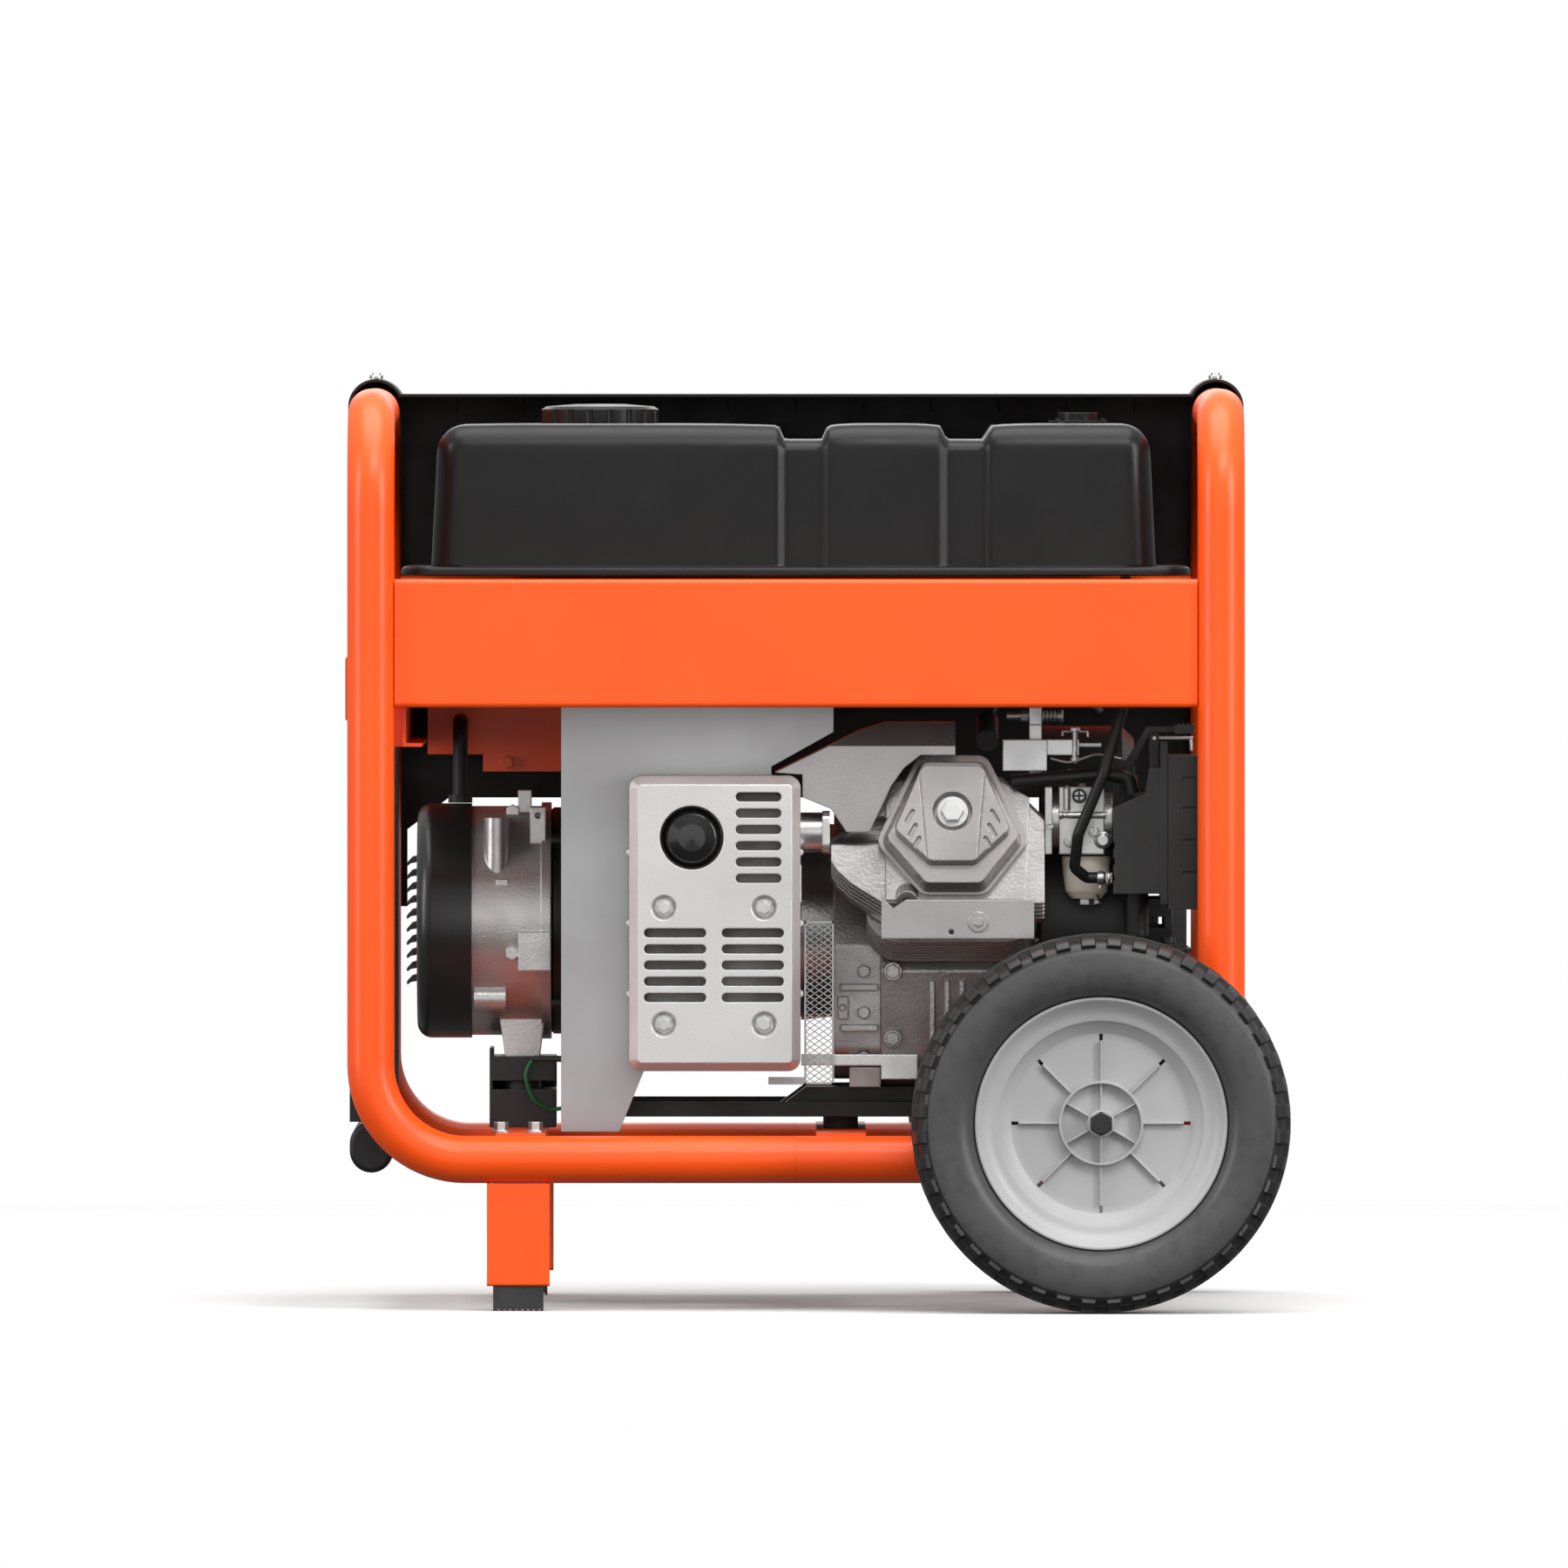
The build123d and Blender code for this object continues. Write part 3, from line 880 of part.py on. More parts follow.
CAP_R = 47.5
with BuildPart() as fuel_cap:
    bottom = TANK_Z[1] + GAP
    turned(((bottom, NECK_R + GAP), (bottom, CAP_R), (724.0, CAP_R), (726.5, CAP_R - 4), (728.4, 20),
            (728.6, 0), (NECK_TOP_Z + GAP, 0), (NECK_TOP_Z + GAP, NECK_R + GAP)),
           (CAP_XY[0], CAP_XY[1], 0), (0, 0, 1), (0, -1, 0))
    for count in range(18):
        angle = radians(count * 20)
        x = CAP_XY[0] + (CAP_R + 1.5) * cos(angle)
        y = CAP_XY[1] + (CAP_R + 1.5) * sin(angle)
        rod((x, y, bottom - 1), (0, 0, 1), 3.4, 12.5, Mode.SUBTRACT)
fuel_cap.part.label = "fuel_cap"
export_step(fuel_cap.part, "parts/fuel_cap.step")

with BuildPart() as fuel_gauge:
    rod((GAUGE_XY[0], GAUGE_XY[1], TANK_Z[1]), (0, 0, 1), 23.8, 3.0)
    rod((GAUGE_XY[0], GAUGE_XY[1], TANK_Z[1] + 3), (0, 0, 1), 16.0, 6.5)
    for angle in range(0, 360, 72):
        x = GAUGE_XY[0] + 19.6 * cos(radians(angle))
        y = GAUGE_XY[1] + 19.6 * sin(radians(angle))
        rod((x, y, TANK_Z[1] + 2), (0, 0, 1), 2.4, 3.0)
fuel_gauge.part.label = "fuel_gauge"
export_step(fuel_gauge.part, "parts/fuel_gauge.step")

# ---------------------------------------------------------------- control panel
LEFT_BOTTOM_Z = 317.0
PANEL_BOTTOM_Z = 406.0
OUTLET_DUPLEX = ((-95.0, 655.0), (-15.0, 655.0))
OUTLET_ROUND = ((-205.0, 650.0), (78.0, 650.0))
SWITCH_AT = (190.0, 650.0)
BREAKER_AT = (135.0, 640.0)
KNOB_AT = (262.0, 650.0)
HOOD_LEFT = POST_LEFT_X - HOOD_R
HOOD_RIGHT = POST_RIGHT_X + HOOD_R


def hood_outline(inset):
    """Cross-section of the hood over both top tubes, drawn in x and z."""
    radius = HOOD_R - inset
    left = POST_LEFT_X - radius
    right = POST_RIGHT_X + radius
    top = PLATE_TOP_Z - inset
    reach = sqrt(radius ** 2 - (top - HOOD_Z) ** 2)
    Line((left, LEFT_BOTTOM_Z - inset), (left, HOOD_Z))
    ThreePointArc((left, HOOD_Z), (POST_LEFT_X, HOOD_Z + radius), (POST_LEFT_X + reach, top))
    Line((POST_LEFT_X + reach, top), (POST_RIGHT_X - reach, top))
    ThreePointArc((POST_RIGHT_X - reach, top), (POST_RIGHT_X, HOOD_Z + radius), (right, HOOD_Z))
    Line((right, HOOD_Z), (right, LEFT_BOTTOM_Z - inset))
    Line((right, LEFT_BOTTOM_Z - inset), (left, LEFT_BOTTOM_Z - inset))


with BuildPart() as control_fascia:
    face_plane = Plane(origin=(0, PANEL_Y[1], 0), x_dir=(1, 0, 0), z_dir=(0, -1, 0))
    with BuildSketch(face_plane):
        with BuildLine():
            hood_outline(0.0)
        make_face()
    extrude(amount=PANEL_Y[1] - HOOD_Y)
    with BuildSketch(Plane(origin=(0, PANEL_Y[0], 0), x_dir=(1, 0, 0), z_dir=(0, -1, 0))):
        with BuildLine():
            hood_outline(HOOD_T)
        make_face()
    extrude(amount=PANEL_Y[0] - HOOD_Y + 1, mode=Mode.SUBTRACT)
    plate_xz(((-334.0, LEFT_BOTTOM_Z - 10), (-334.0, 380.0), (-300.0, PANEL_BOTTOM_Z),
              (HOOD_RIGHT + 5, PANEL_BOTTOM_Z), (HOOD_RIGHT + 5, LEFT_BOTTOM_Z - 10)),
             (HOOD_Y - 5, PANEL_Y[1] + 1), Mode.SUBTRACT)
    side_cut = ((HOOD_Y - 5, LEFT_BOTTOM_Z - 10), (216.0, LEFT_BOTTOM_Z - 10), (216.0, 560.0),
                (HOOD_Y - 5, 700.0))
    prism_yz(side_cut, (HOOD_LEFT - 5, HOOD_RIGHT + 5), Mode.SUBTRACT)
    for count in range(11):
        x = -293.3 + count * 55.4
        block((x - 0.6, x + 0.6), (PANEL_Y[0] - 1, PANEL_Y[0] + 1.4), (722.0, 732.0), Mode.SUBTRACT)
    for x, z in OUTLET_DUPLEX:
        block((x - 17.5, x + 17.5), (PANEL_Y[0] - 1, PANEL_Y[1] + 1), (z - 35, z + 35), Mode.SUBTRACT)
    for x, z in OUTLET_ROUND:
        rod((x, PANEL_Y[0] - 1, z), (0, 1, 0), 26.5, 6.0, Mode.SUBTRACT)
    block((SWITCH_AT[0] - 10.5, SWITCH_AT[0] + 10.5), (PANEL_Y[0] - 1, PANEL_Y[1] + 1),
          (SWITCH_AT[1] - 17, SWITCH_AT[1] + 17), Mode.SUBTRACT)
    rod((BREAKER_AT[0], PANEL_Y[0] - 1, BREAKER_AT[1]), (0, 1, 0), 8.3, 6.0, Mode.SUBTRACT)
    rod((KNOB_AT[0], PANEL_Y[0] - 1, KNOB_AT[1]), (0, 1, 0), 5.05, 6.0, Mode.SUBTRACT)
control_fascia.part.label = "control_fascia"
export_step(control_fascia.part, "parts/control_fascia.step")

BOX_X = (-316.0, -20.0)
BOX_Y = (128.0, 213.0)
BOX_Z = (443.0, 583.0)
with BuildPart() as control_box:
    block(BOX_X, BOX_Y, BOX_Z)
    block((BOX_X[0] + 2, BOX_X[1] - 2), (BOX_Y[0] + 2, BOX_Y[1] - 2), (BOX_Z[0] + 2, BOX_Z[1] - 2),
          Mode.SUBTRACT)
    block((-271.0, -205.0), (BOX_Y[0], BOX_Y[0] + 2), (429.0, 443.0))
    hexagon((-251.4, BOX_Y[0], 436.5), (0, -1, 0), 9.0, 6.0)
control_box.part.label = "control_box"
export_step(control_box.part, "parts/control_box.step")

with BuildPart() as outlets:
    for x, z in OUTLET_DUPLEX:
        block((x - 17.0, x + 17.0), (246.5, 270.5), (z - 34.5, z + 34.5))
        for dz in (-19.5, 19.5):
            for dx in (-6.0, 6.0):
                block((x + dx - 1.2, x + dx + 1.2), (262.0, 271.0), (z + dz - 2, z + dz + 6), Mode.SUBTRACT)
            rod((x, 262.0, z + dz - 8), (0, 1, 0), 2.4, 10.0, Mode.SUBTRACT)
    for x, z in OUTLET_ROUND:
        rod((x, 246.5, z), (0, 1, 0), 26.0, 26.0)
        rod((x, 268.0, z), (0, 1, 0), 22.0, 6.0, Mode.SUBTRACT)
        rod((x, 260.0, z), (0, 1, 0), 19.0, 11.5)
        for angle in (20, 110, 200, 290):
            y_angle = radians(angle)
            block((x + 12 * cos(y_angle) - 1.2, x + 12 * cos(y_angle) + 1.2), (262.0, 273.0),
                  (z + 12 * sin(y_angle) - 4, z + 12 * sin(y_angle) + 4), Mode.SUBTRACT)
outlets.part.label = "outlets"
export_step(outlets.part, "parts/outlets.step")

with BuildPart() as engine_switch:
    x = (SWITCH_AT[0] - 10.0, SWITCH_AT[0] + 10.0)
    with BuildSketch(Plane(origin=(x[0], 262.0, SWITCH_AT[1]), x_dir=(0, 1, 0), z_dir=(1, 0, 0))):
        with BuildLine():
            Polyline((-6, -12), (6, -14), (11, -12), (9, 0), (7, 12.5), (4, 13), (-6, 12), close=True)
        make_face()
    extrude(amount=x[1] - x[0])
engine_switch.part.label = "engine_switch"
export_step(engine_switch.part, "parts/engine_switch.step")

with BuildPart() as breaker_button:
    rod((BREAKER_AT[0], 258.0, BREAKER_AT[1]), (0, 1, 0), 8.0, 17.0)
    fillet(breaker_button.edges().group_by(Axis.Y)[-1], 2.0)
breaker_button.part.label = "breaker_button"
export_step(breaker_button.part, "parts/breaker_button.step")

with BuildPart() as fuel_valve_knob:
    rod((KNOB_AT[0], 250.0, KNOB_AT[1]), (0, 1, 0), 5.0, 24.0)
    rod((KNOB_AT[0], PANEL_Y[1] + GAP, KNOB_AT[1]), (0, 1, 0), 19.0, 5.0)
    block((KNOB_AT[0] - 5, KNOB_AT[0] + 5), (PANEL_Y[1] + 5, PANEL_Y[1] + 17), (KNOB_AT[1] - 18, KNOB_AT[1] + 18))
    fillet(fuel_valve_knob.edges().group_by(Axis.Y)[-1], 2.0)
fuel_valve_knob.part.label = "fuel_valve_knob"
export_step(fuel_valve_knob.part, "parts/fuel_valve_knob.step")

# ---------------------------------------------------------------- wiring and battery
with BuildPart() as wiring:
    rod((-288.7, AXIS_Y, 404.6), (0, 0, 1), 9.8, 6.4)
    hose(((-288.7, AXIS_Y, 411.0), (-288.7, AXIS_Y, 470.0), (-288.7, BOX_Y[0], 470.0)), 14.0, 6.0)
    hose(((-229.0, -48.0, 198.6), (-205.0, -70.0, 198.6), (-190.0, -90.0, 180.0), (-190.0, -60.0, 156.0)),
         8.0, 2.2)
    hose(((138.0, -137.0, 473.0), (150.0, -95.0, 502.0), (205.0, -70.0, 502.0), (230.0, -70.0, 478.5)),
         14.0, 4.0)
    rod((138.0, -178.0, 457.5), (0, 0.94, 0.35), 9.0, 45.0)
wiring.part.label = "wiring"
export_step(wiring.part, "parts/wiring.step")

BATTERY_X = (188.0, 300.0)
BATTERY_Y = (-205.0, -126.0)
BATTERY_Z = (150.0, 290.0)
with BuildPart() as battery:
    block(BATTERY_X, BATTERY_Y, BATTERY_Z)
    fillet(battery.edges().filter_by(Axis.Z), 4.0)
    block((BATTERY_X[0] + 4, BATTERY_X[1] - 4), (BATTERY_Y[0] + 4, BATTERY_Y[1] - 4), (290.0, 294.0))
    for x in (BATTERY_X[0] + 16, BATTERY_X[1] - 16):
        rod((x, BATTERY_Y[1] - 16, 290.0), (0, 0, 1), 6.0, 9.0)
    block((BATTERY_X[0] - 3, BATTERY_X[1] + 3), (BATTERY_Y[0] - 3, BATTERY_Y[1] + 3), (142.0, 150.0))
battery.part.label = "battery"
export_step(battery.part, "parts/battery.step")

# ---------------------------------------------------------------- fasteners on the frame
with BuildPart() as fasteners:
    for leg_y in (-HANDLE_Y, HANDLE_Y):
        rod((POST_LEFT_X, leg_y - 13.5, HANDLE_PIVOT_Z), (0, 1, 0), PIVOT_R - 0.02, 27.0)
        for side in (-1, 1):
            outer = leg_y + side * (EAR_OFFSET + 3.0)
            hexagon((POST_LEFT_X, outer, HANDLE_PIVOT_Z), (0, side, 0), 15.0, 6.0)
    for x in (-253.6, -225.8):
        for y in (-POST_Y + 38.0, POST_Y - 38.0):
            rod((x, y, MEMBER_Z[1]), (0, 0, 1), 7.5, 2.0)
            hexagon((x, y, MEMBER_Z[1] + 2.0), (0, 0, 1), 10.0, 7.0)
    for x in (POST_LEFT_X, POST_RIGHT_X):
        rod((x, 150.0, HOOD_Z + HOOD_R), (0, 0, 1), 5.5, 3.0)
        rod((x, 150.0, HOOD_Z + HOOD_R + 3.0), (0, 0, 1), 3.5, 2.2)
    with Locations(cylinder_plane(COVER_W + 20.0)):
        with Locations((0, up_face(400.6, COVER_W + 30), 0)):
            Cylinder(12.6, 10.0, align=(Align.CENTER, Align.CENTER, Align.MIN))
    with BuildSketch(cylinder_plane(COVER_W + 30.0)):
        with Locations((0, up_face(400.6, COVER_W + 30))):
            RegularPolygon(8.0, 6, major_radius=False)
    extrude(amount=5.0)
    for x, z in DIMPLES:
        hexagon((x, MUFFLER_FACE_Y + 4.0, z), (0, -1, 0), 10.0, 4.6)
fasteners.part.label = "fasteners"
export_step(fasteners.part, "parts/fasteners.step")

# ---------------------------------------------------------------- wheels
TYRE_PROFILE = ((-23.8, 98.0), (-24.0, 102.2), (-29.0, 103.0), (-36.0, 110.0), (-39.0, 122.0),
                (-38.4, 134.0), (-34.0, 145.0), (-26.0, 150.2), (-12.0, 152.4), (12.0, 152.4),
                (26.0, 150.2), (34.0, 145.0), (38.4, 134.0), (39.0, 122.0), (36.0, 110.0),
                (29.0, 103.0), (24.0, 102.2), (23.8, 98.0))
RIM_BARREL = ((-28.0, 98.5), (-28.0, RIM_R), (-24.4, RIM_R), (-24.4, 97.5), (24.4, 97.5), (24.4, RIM_R),
              (28.0, RIM_R), (28.0, 98.5), (20.0, 94.0), (-8.0, 92.0), (-14.0, 84.0), (-14.0, 82.0),
              (-17.0, 82.0), (-17.0, 86.0), (-22.0, 94.0))
RIM_DISC = ((-17.0, 82.0), (-14.0, 82.0), (-6.0, 72.6), (-6.0, 8.0 + RUN_FIT), (-9.0, 8.0 + RUN_FIT),
            (-9.0, 72.6))


def wheel_tyre(side):
    turned(TYRE_PROFILE, (WHEEL_X, side * WHEEL_Y, WHEEL_R), (0, -side, 0), (1, 0, 0))


def wheel_rim(side):
    """Moulded wheel; its profile is turned, with the outer face at negative distances."""
    centre = (WHEEL_X, side * WHEEL_Y, WHEEL_R)
    turned(RIM_BARREL, centre, (0, -side, 0), (1, 0, 0))
    turned(RIM_DISC, centre, (0, -side, 0), (1, 0, 0))
    hub = ((-24.4, AXLE_R + RUN_FIT), (-24.4, 17.0), (36.0, 17.0), (36.0, AXLE_R + RUN_FIT))
    turned(hub, centre, (0, -side, 0), (1, 0, 0))
    turned(((-16.0, 31.7), (-16.0, 33.9), (-6.0, 33.9), (-6.0, 31.7)), centre, (0, -side, 0), (1, 0, 0))
    face = Plane(origin=(WHEEL_X, side * (WHEEL_Y + 6.0), WHEEL_R), x_dir=(1, 0, 0), z_dir=(0, side, 0))
    for count in range(8):
        with BuildSketch(face) as rib:
            with Locations(Location((0, 0, 0), (0, 0, count * 45.0))):
                with Locations((50.0, 0)):
                    Rectangle(33.0, 1.4)
        extrude(rib.sketch, amount=6.0)
        with BuildSketch(face) as slot:
            with Locations(Location((0, 0, 0), (0, 0, count * 45.0))):
                with Locations((69.2, 0)):
                    Rectangle(5.2, 2.6)
        extrude(slot.sketch, amount=5.0, both=True, mode=Mode.SUBTRACT)
    for count in range(6):
        with BuildSketch(face) as rib:
            with Locations(Location((0, 0, 0), (0, 0, count * 60.0 + 30.0))):
                with Locations((24.0, 0)):
                    Rectangle(16.0, 1.2)
        extrude(rib.sketch, amount=9.0)


with BuildPart() as tyre_near:
    wheel_tyre(-1)
tyre_near.part.label = "tyre_near"
export_step(tyre_near.part, "parts/tyre_near.step")

with BuildPart() as tyre_far:
    wheel_tyre(1)
tyre_far.part.label = "tyre_far"
export_step(tyre_far.part, "parts/tyre_far.step")

with BuildPart() as rim_near:
    wheel_rim(-1)
rim_near.part.label = "rim_near"
export_step(rim_near.part, "parts/rim_near.step")

with BuildPart() as rim_far:
    wheel_rim(1)
rim_far.part.label = "rim_far"
export_step(rim_far.part, "parts/rim_far.step")

# ---------------------------------------------------------------- handle
GRIP_Z = (110.0, 151.0)
with BuildPart() as handle_bar:
    for leg_y in (-HANDLE_Y, HANDLE_Y):
        plane = Plane(origin=(POST_LEFT_X, leg_y + HANDLE_T / 2, 0), x_dir=(1, 0, 0), z_dir=(0, -1, 0))
        top = HANDLE_PIVOT_Z + HANDLE_W / 2
        with BuildSketch(plane):
            with Locations((0, (top + GRIP_Z[1]) / 2)):
                SlotOverall(top - GRIP_Z[1], HANDLE_W, rotation=90)
            with Locations((0, GRIP_Z[1] + 12.0)):
                Rectangle(HANDLE_W, 24.0)
            with Locations((0, HANDLE_PIVOT_Z)):
                Circle(PIVOT_R + RUN_FIT, mode=Mode.SUBTRACT)
        extrude(amount=HANDLE_T)
handle_bar.part.label = "handle_bar"
export_step(handle_bar.part, "parts/handle_bar.step")

with BuildPart() as handle_grip:
    length = 2 * HANDLE_Y + HANDLE_T
    with BuildSketch(Plane(origin=(POST_LEFT_X, length / 2, 0), x_dir=(1, 0, 0), z_dir=(0, -1, 0))):
        with Locations((0, (GRIP_Z[0] + GRIP_Z[1]) / 2)):
            SlotOverall(GRIP_Z[1] - GRIP_Z[0], HANDLE_W, rotation=90)
    extrude(amount=length)
    fillet(handle_grip.edges().group_by(Axis.Y)[0], 4.0)
    fillet(handle_grip.edges().group_by(Axis.Y)[-1], 4.0)
handle_grip.part.label = "handle_grip"
export_step(handle_grip.part, "parts/handle_grip.step")
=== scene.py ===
import json
from math import asin, cos, pi, radians, sin

import bmesh
import bpy
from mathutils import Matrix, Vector


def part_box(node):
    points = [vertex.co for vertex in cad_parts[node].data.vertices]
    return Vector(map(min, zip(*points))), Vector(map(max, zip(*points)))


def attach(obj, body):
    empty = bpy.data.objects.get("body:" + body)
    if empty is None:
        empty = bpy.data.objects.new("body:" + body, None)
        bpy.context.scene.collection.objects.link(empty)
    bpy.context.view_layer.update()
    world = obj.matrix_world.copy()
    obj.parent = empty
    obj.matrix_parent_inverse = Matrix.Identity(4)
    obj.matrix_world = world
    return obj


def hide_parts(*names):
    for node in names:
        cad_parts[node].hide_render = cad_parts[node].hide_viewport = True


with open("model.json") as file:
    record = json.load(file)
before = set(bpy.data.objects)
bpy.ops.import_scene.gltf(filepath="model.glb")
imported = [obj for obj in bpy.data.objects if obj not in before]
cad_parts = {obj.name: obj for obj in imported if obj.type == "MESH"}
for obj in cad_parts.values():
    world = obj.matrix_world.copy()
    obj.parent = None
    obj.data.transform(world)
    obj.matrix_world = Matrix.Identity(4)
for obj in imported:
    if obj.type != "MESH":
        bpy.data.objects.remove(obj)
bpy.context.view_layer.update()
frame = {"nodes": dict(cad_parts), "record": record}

MM = 0.001
nodes = frame["nodes"]
record = frame["record"]


# ---------------------------------------------------------------- camera and studio
VIEW_WIDTH = 1.26              # metres across the picture, in the plane of the near rail
VIEW_DISTANCE = 28.0
VIEW_PITCH = radians(0.72)
AIM_X = -0.0259
AIM_Z = 0.4235
ROOM_SPAN = (-0.35, 0.9)       # heights of a ray's direction between which the room brightens
ROOM_LIGHT = (0.14, 0.85)
LIGHTS_AIM = Vector((0.0, 0.0, 0.38))
LIGHTS = (                     # name, place, size, power in watts
    ("strip_left", (-3.3, -1.5, 1.3), (0.6, 2.4), 50.0),
    ("strip_right", (3.0, -2.3, 1.5), (0.8, 2.4), 75.0),
    ("front_high", (1.0, -3.6, 4.2), (3.0, 1.4), 105.0),
    ("front_card", (-0.8, -5.0, 0.8), (5.0, 2.2), 32.0),
    ("top", (0.0, -0.2, 3.4), (3.2, 2.6), 95.0),
    ("back", (0.0, 4.2, 2.2), (3.0, 1.6), 30.0))
FLOOR_HALF = 3.2
FLOOR_GREY = 0.735


def make_camera():
    """A long lens far in front of the muffler side, a little above the middle of the object."""
    aim = Vector((AIM_X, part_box("near_side_rail")[0][1], AIM_Z))
    data = bpy.data.cameras.new("camera")
    data.sensor_width = 36.0
    data.lens = data.sensor_width * VIEW_DISTANCE / VIEW_WIDTH
    data.clip_start = 0.1
    data.clip_end = 200.0
    camera = bpy.data.objects.new("camera", data)
    camera.location = aim + Vector((0.0, -cos(VIEW_PITCH), sin(VIEW_PITCH))) * VIEW_DISTANCE
    camera.rotation_euler = (pi / 2 - VIEW_PITCH, 0.0, 0.0)
    bpy.context.scene.collection.objects.link(camera)
    bpy.context.scene.camera = camera


def soft_box(name, place, size, power):
    """A rectangular area light aimed at the middle of the object."""
    data = bpy.data.lights.new(name, "AREA")
    data.shape = "RECTANGLE"
    data.size = size[0]
    data.size_y = size[1]
    data.energy = power
    lamp = bpy.data.objects.new(name, data)
    lamp.location = place
    lamp.rotation_euler = (LIGHTS_AIM - Vector(place)).to_track_quat("-Z", "Y").to_euler()
    bpy.context.scene.collection.objects.link(lamp)


def make_world():
    """White behind the object, and a softer grey room, brighter overhead, for the light on it."""
    world = bpy.data.worlds.new("studio")
    bpy.context.scene.world = world
    world.use_nodes = True
    tree = world.node_tree
    background = tree.nodes["Background"]
    background.inputs["Color"].default_value = (1.0, 1.0, 1.0, 1.0)
    direction = tree.nodes.new("ShaderNodeSeparateXYZ")
    tree.links.new(tree.nodes.new("ShaderNodeTexCoord").outputs["Generated"], direction.inputs[0])
    room = tree.nodes.new("ShaderNodeMapRange")
    tree.links.new(direction.outputs["Z"], room.inputs["Value"])
    room.inputs["From Min"].default_value = ROOM_SPAN[0]
    room.inputs["From Max"].default_value = ROOM_SPAN[1]
    room.inputs["To Min"].default_value = ROOM_LIGHT[0]
    room.inputs["To Max"].default_value = ROOM_LIGHT[1]
    seen = tree.nodes.new("ShaderNodeMix")
    ray = tree.nodes.new("ShaderNodeLightPath")
    tree.links.new(ray.outputs["Is Camera Ray"], seen.inputs["Factor"])
    tree.links.new(room.outputs["Result"], seen.inputs["A"])
    seen.inputs["B"].default_value = 1.0
    tree.links.new(seen.outputs["Result"], background.inputs["Strength"])


def make_floor():
    """White paper that takes the shadow, but throws no light back on the object."""
    mesh = bpy.data.meshes.new("floor")
    corners = [(x * FLOOR_HALF, y * FLOOR_HALF, 0.0) for x, y in ((-1, -1), (1, -1), (1, 1), (-1, 1))]
    mesh.from_pydata(corners, [], [(0, 1, 2, 3)])
    floor = bpy.data.objects.new("floor", mesh)
    bpy.context.scene.collection.objects.link(floor)
    paper = bpy.data.materials.new("floor_paper")
    paper.use_nodes = True
    shader = paper.node_tree.nodes["Principled BSDF"]
    shader.inputs["Base Color"].default_value = (FLOOR_GREY, FLOOR_GREY, FLOOR_GREY, 1.0)
    shader.inputs["Roughness"].default_value = 0.9
    shader.inputs["Specular IOR Level"].default_value = 0.1
    mesh.materials.append(paper)
    floor.visible_diffuse = False
    floor.visible_glossy = False


def make_studio():
    make_world()
    for light in LIGHTS:
        soft_box(*light)
    make_floor()
    bpy.context.scene.view_settings.view_transform = "Standard"


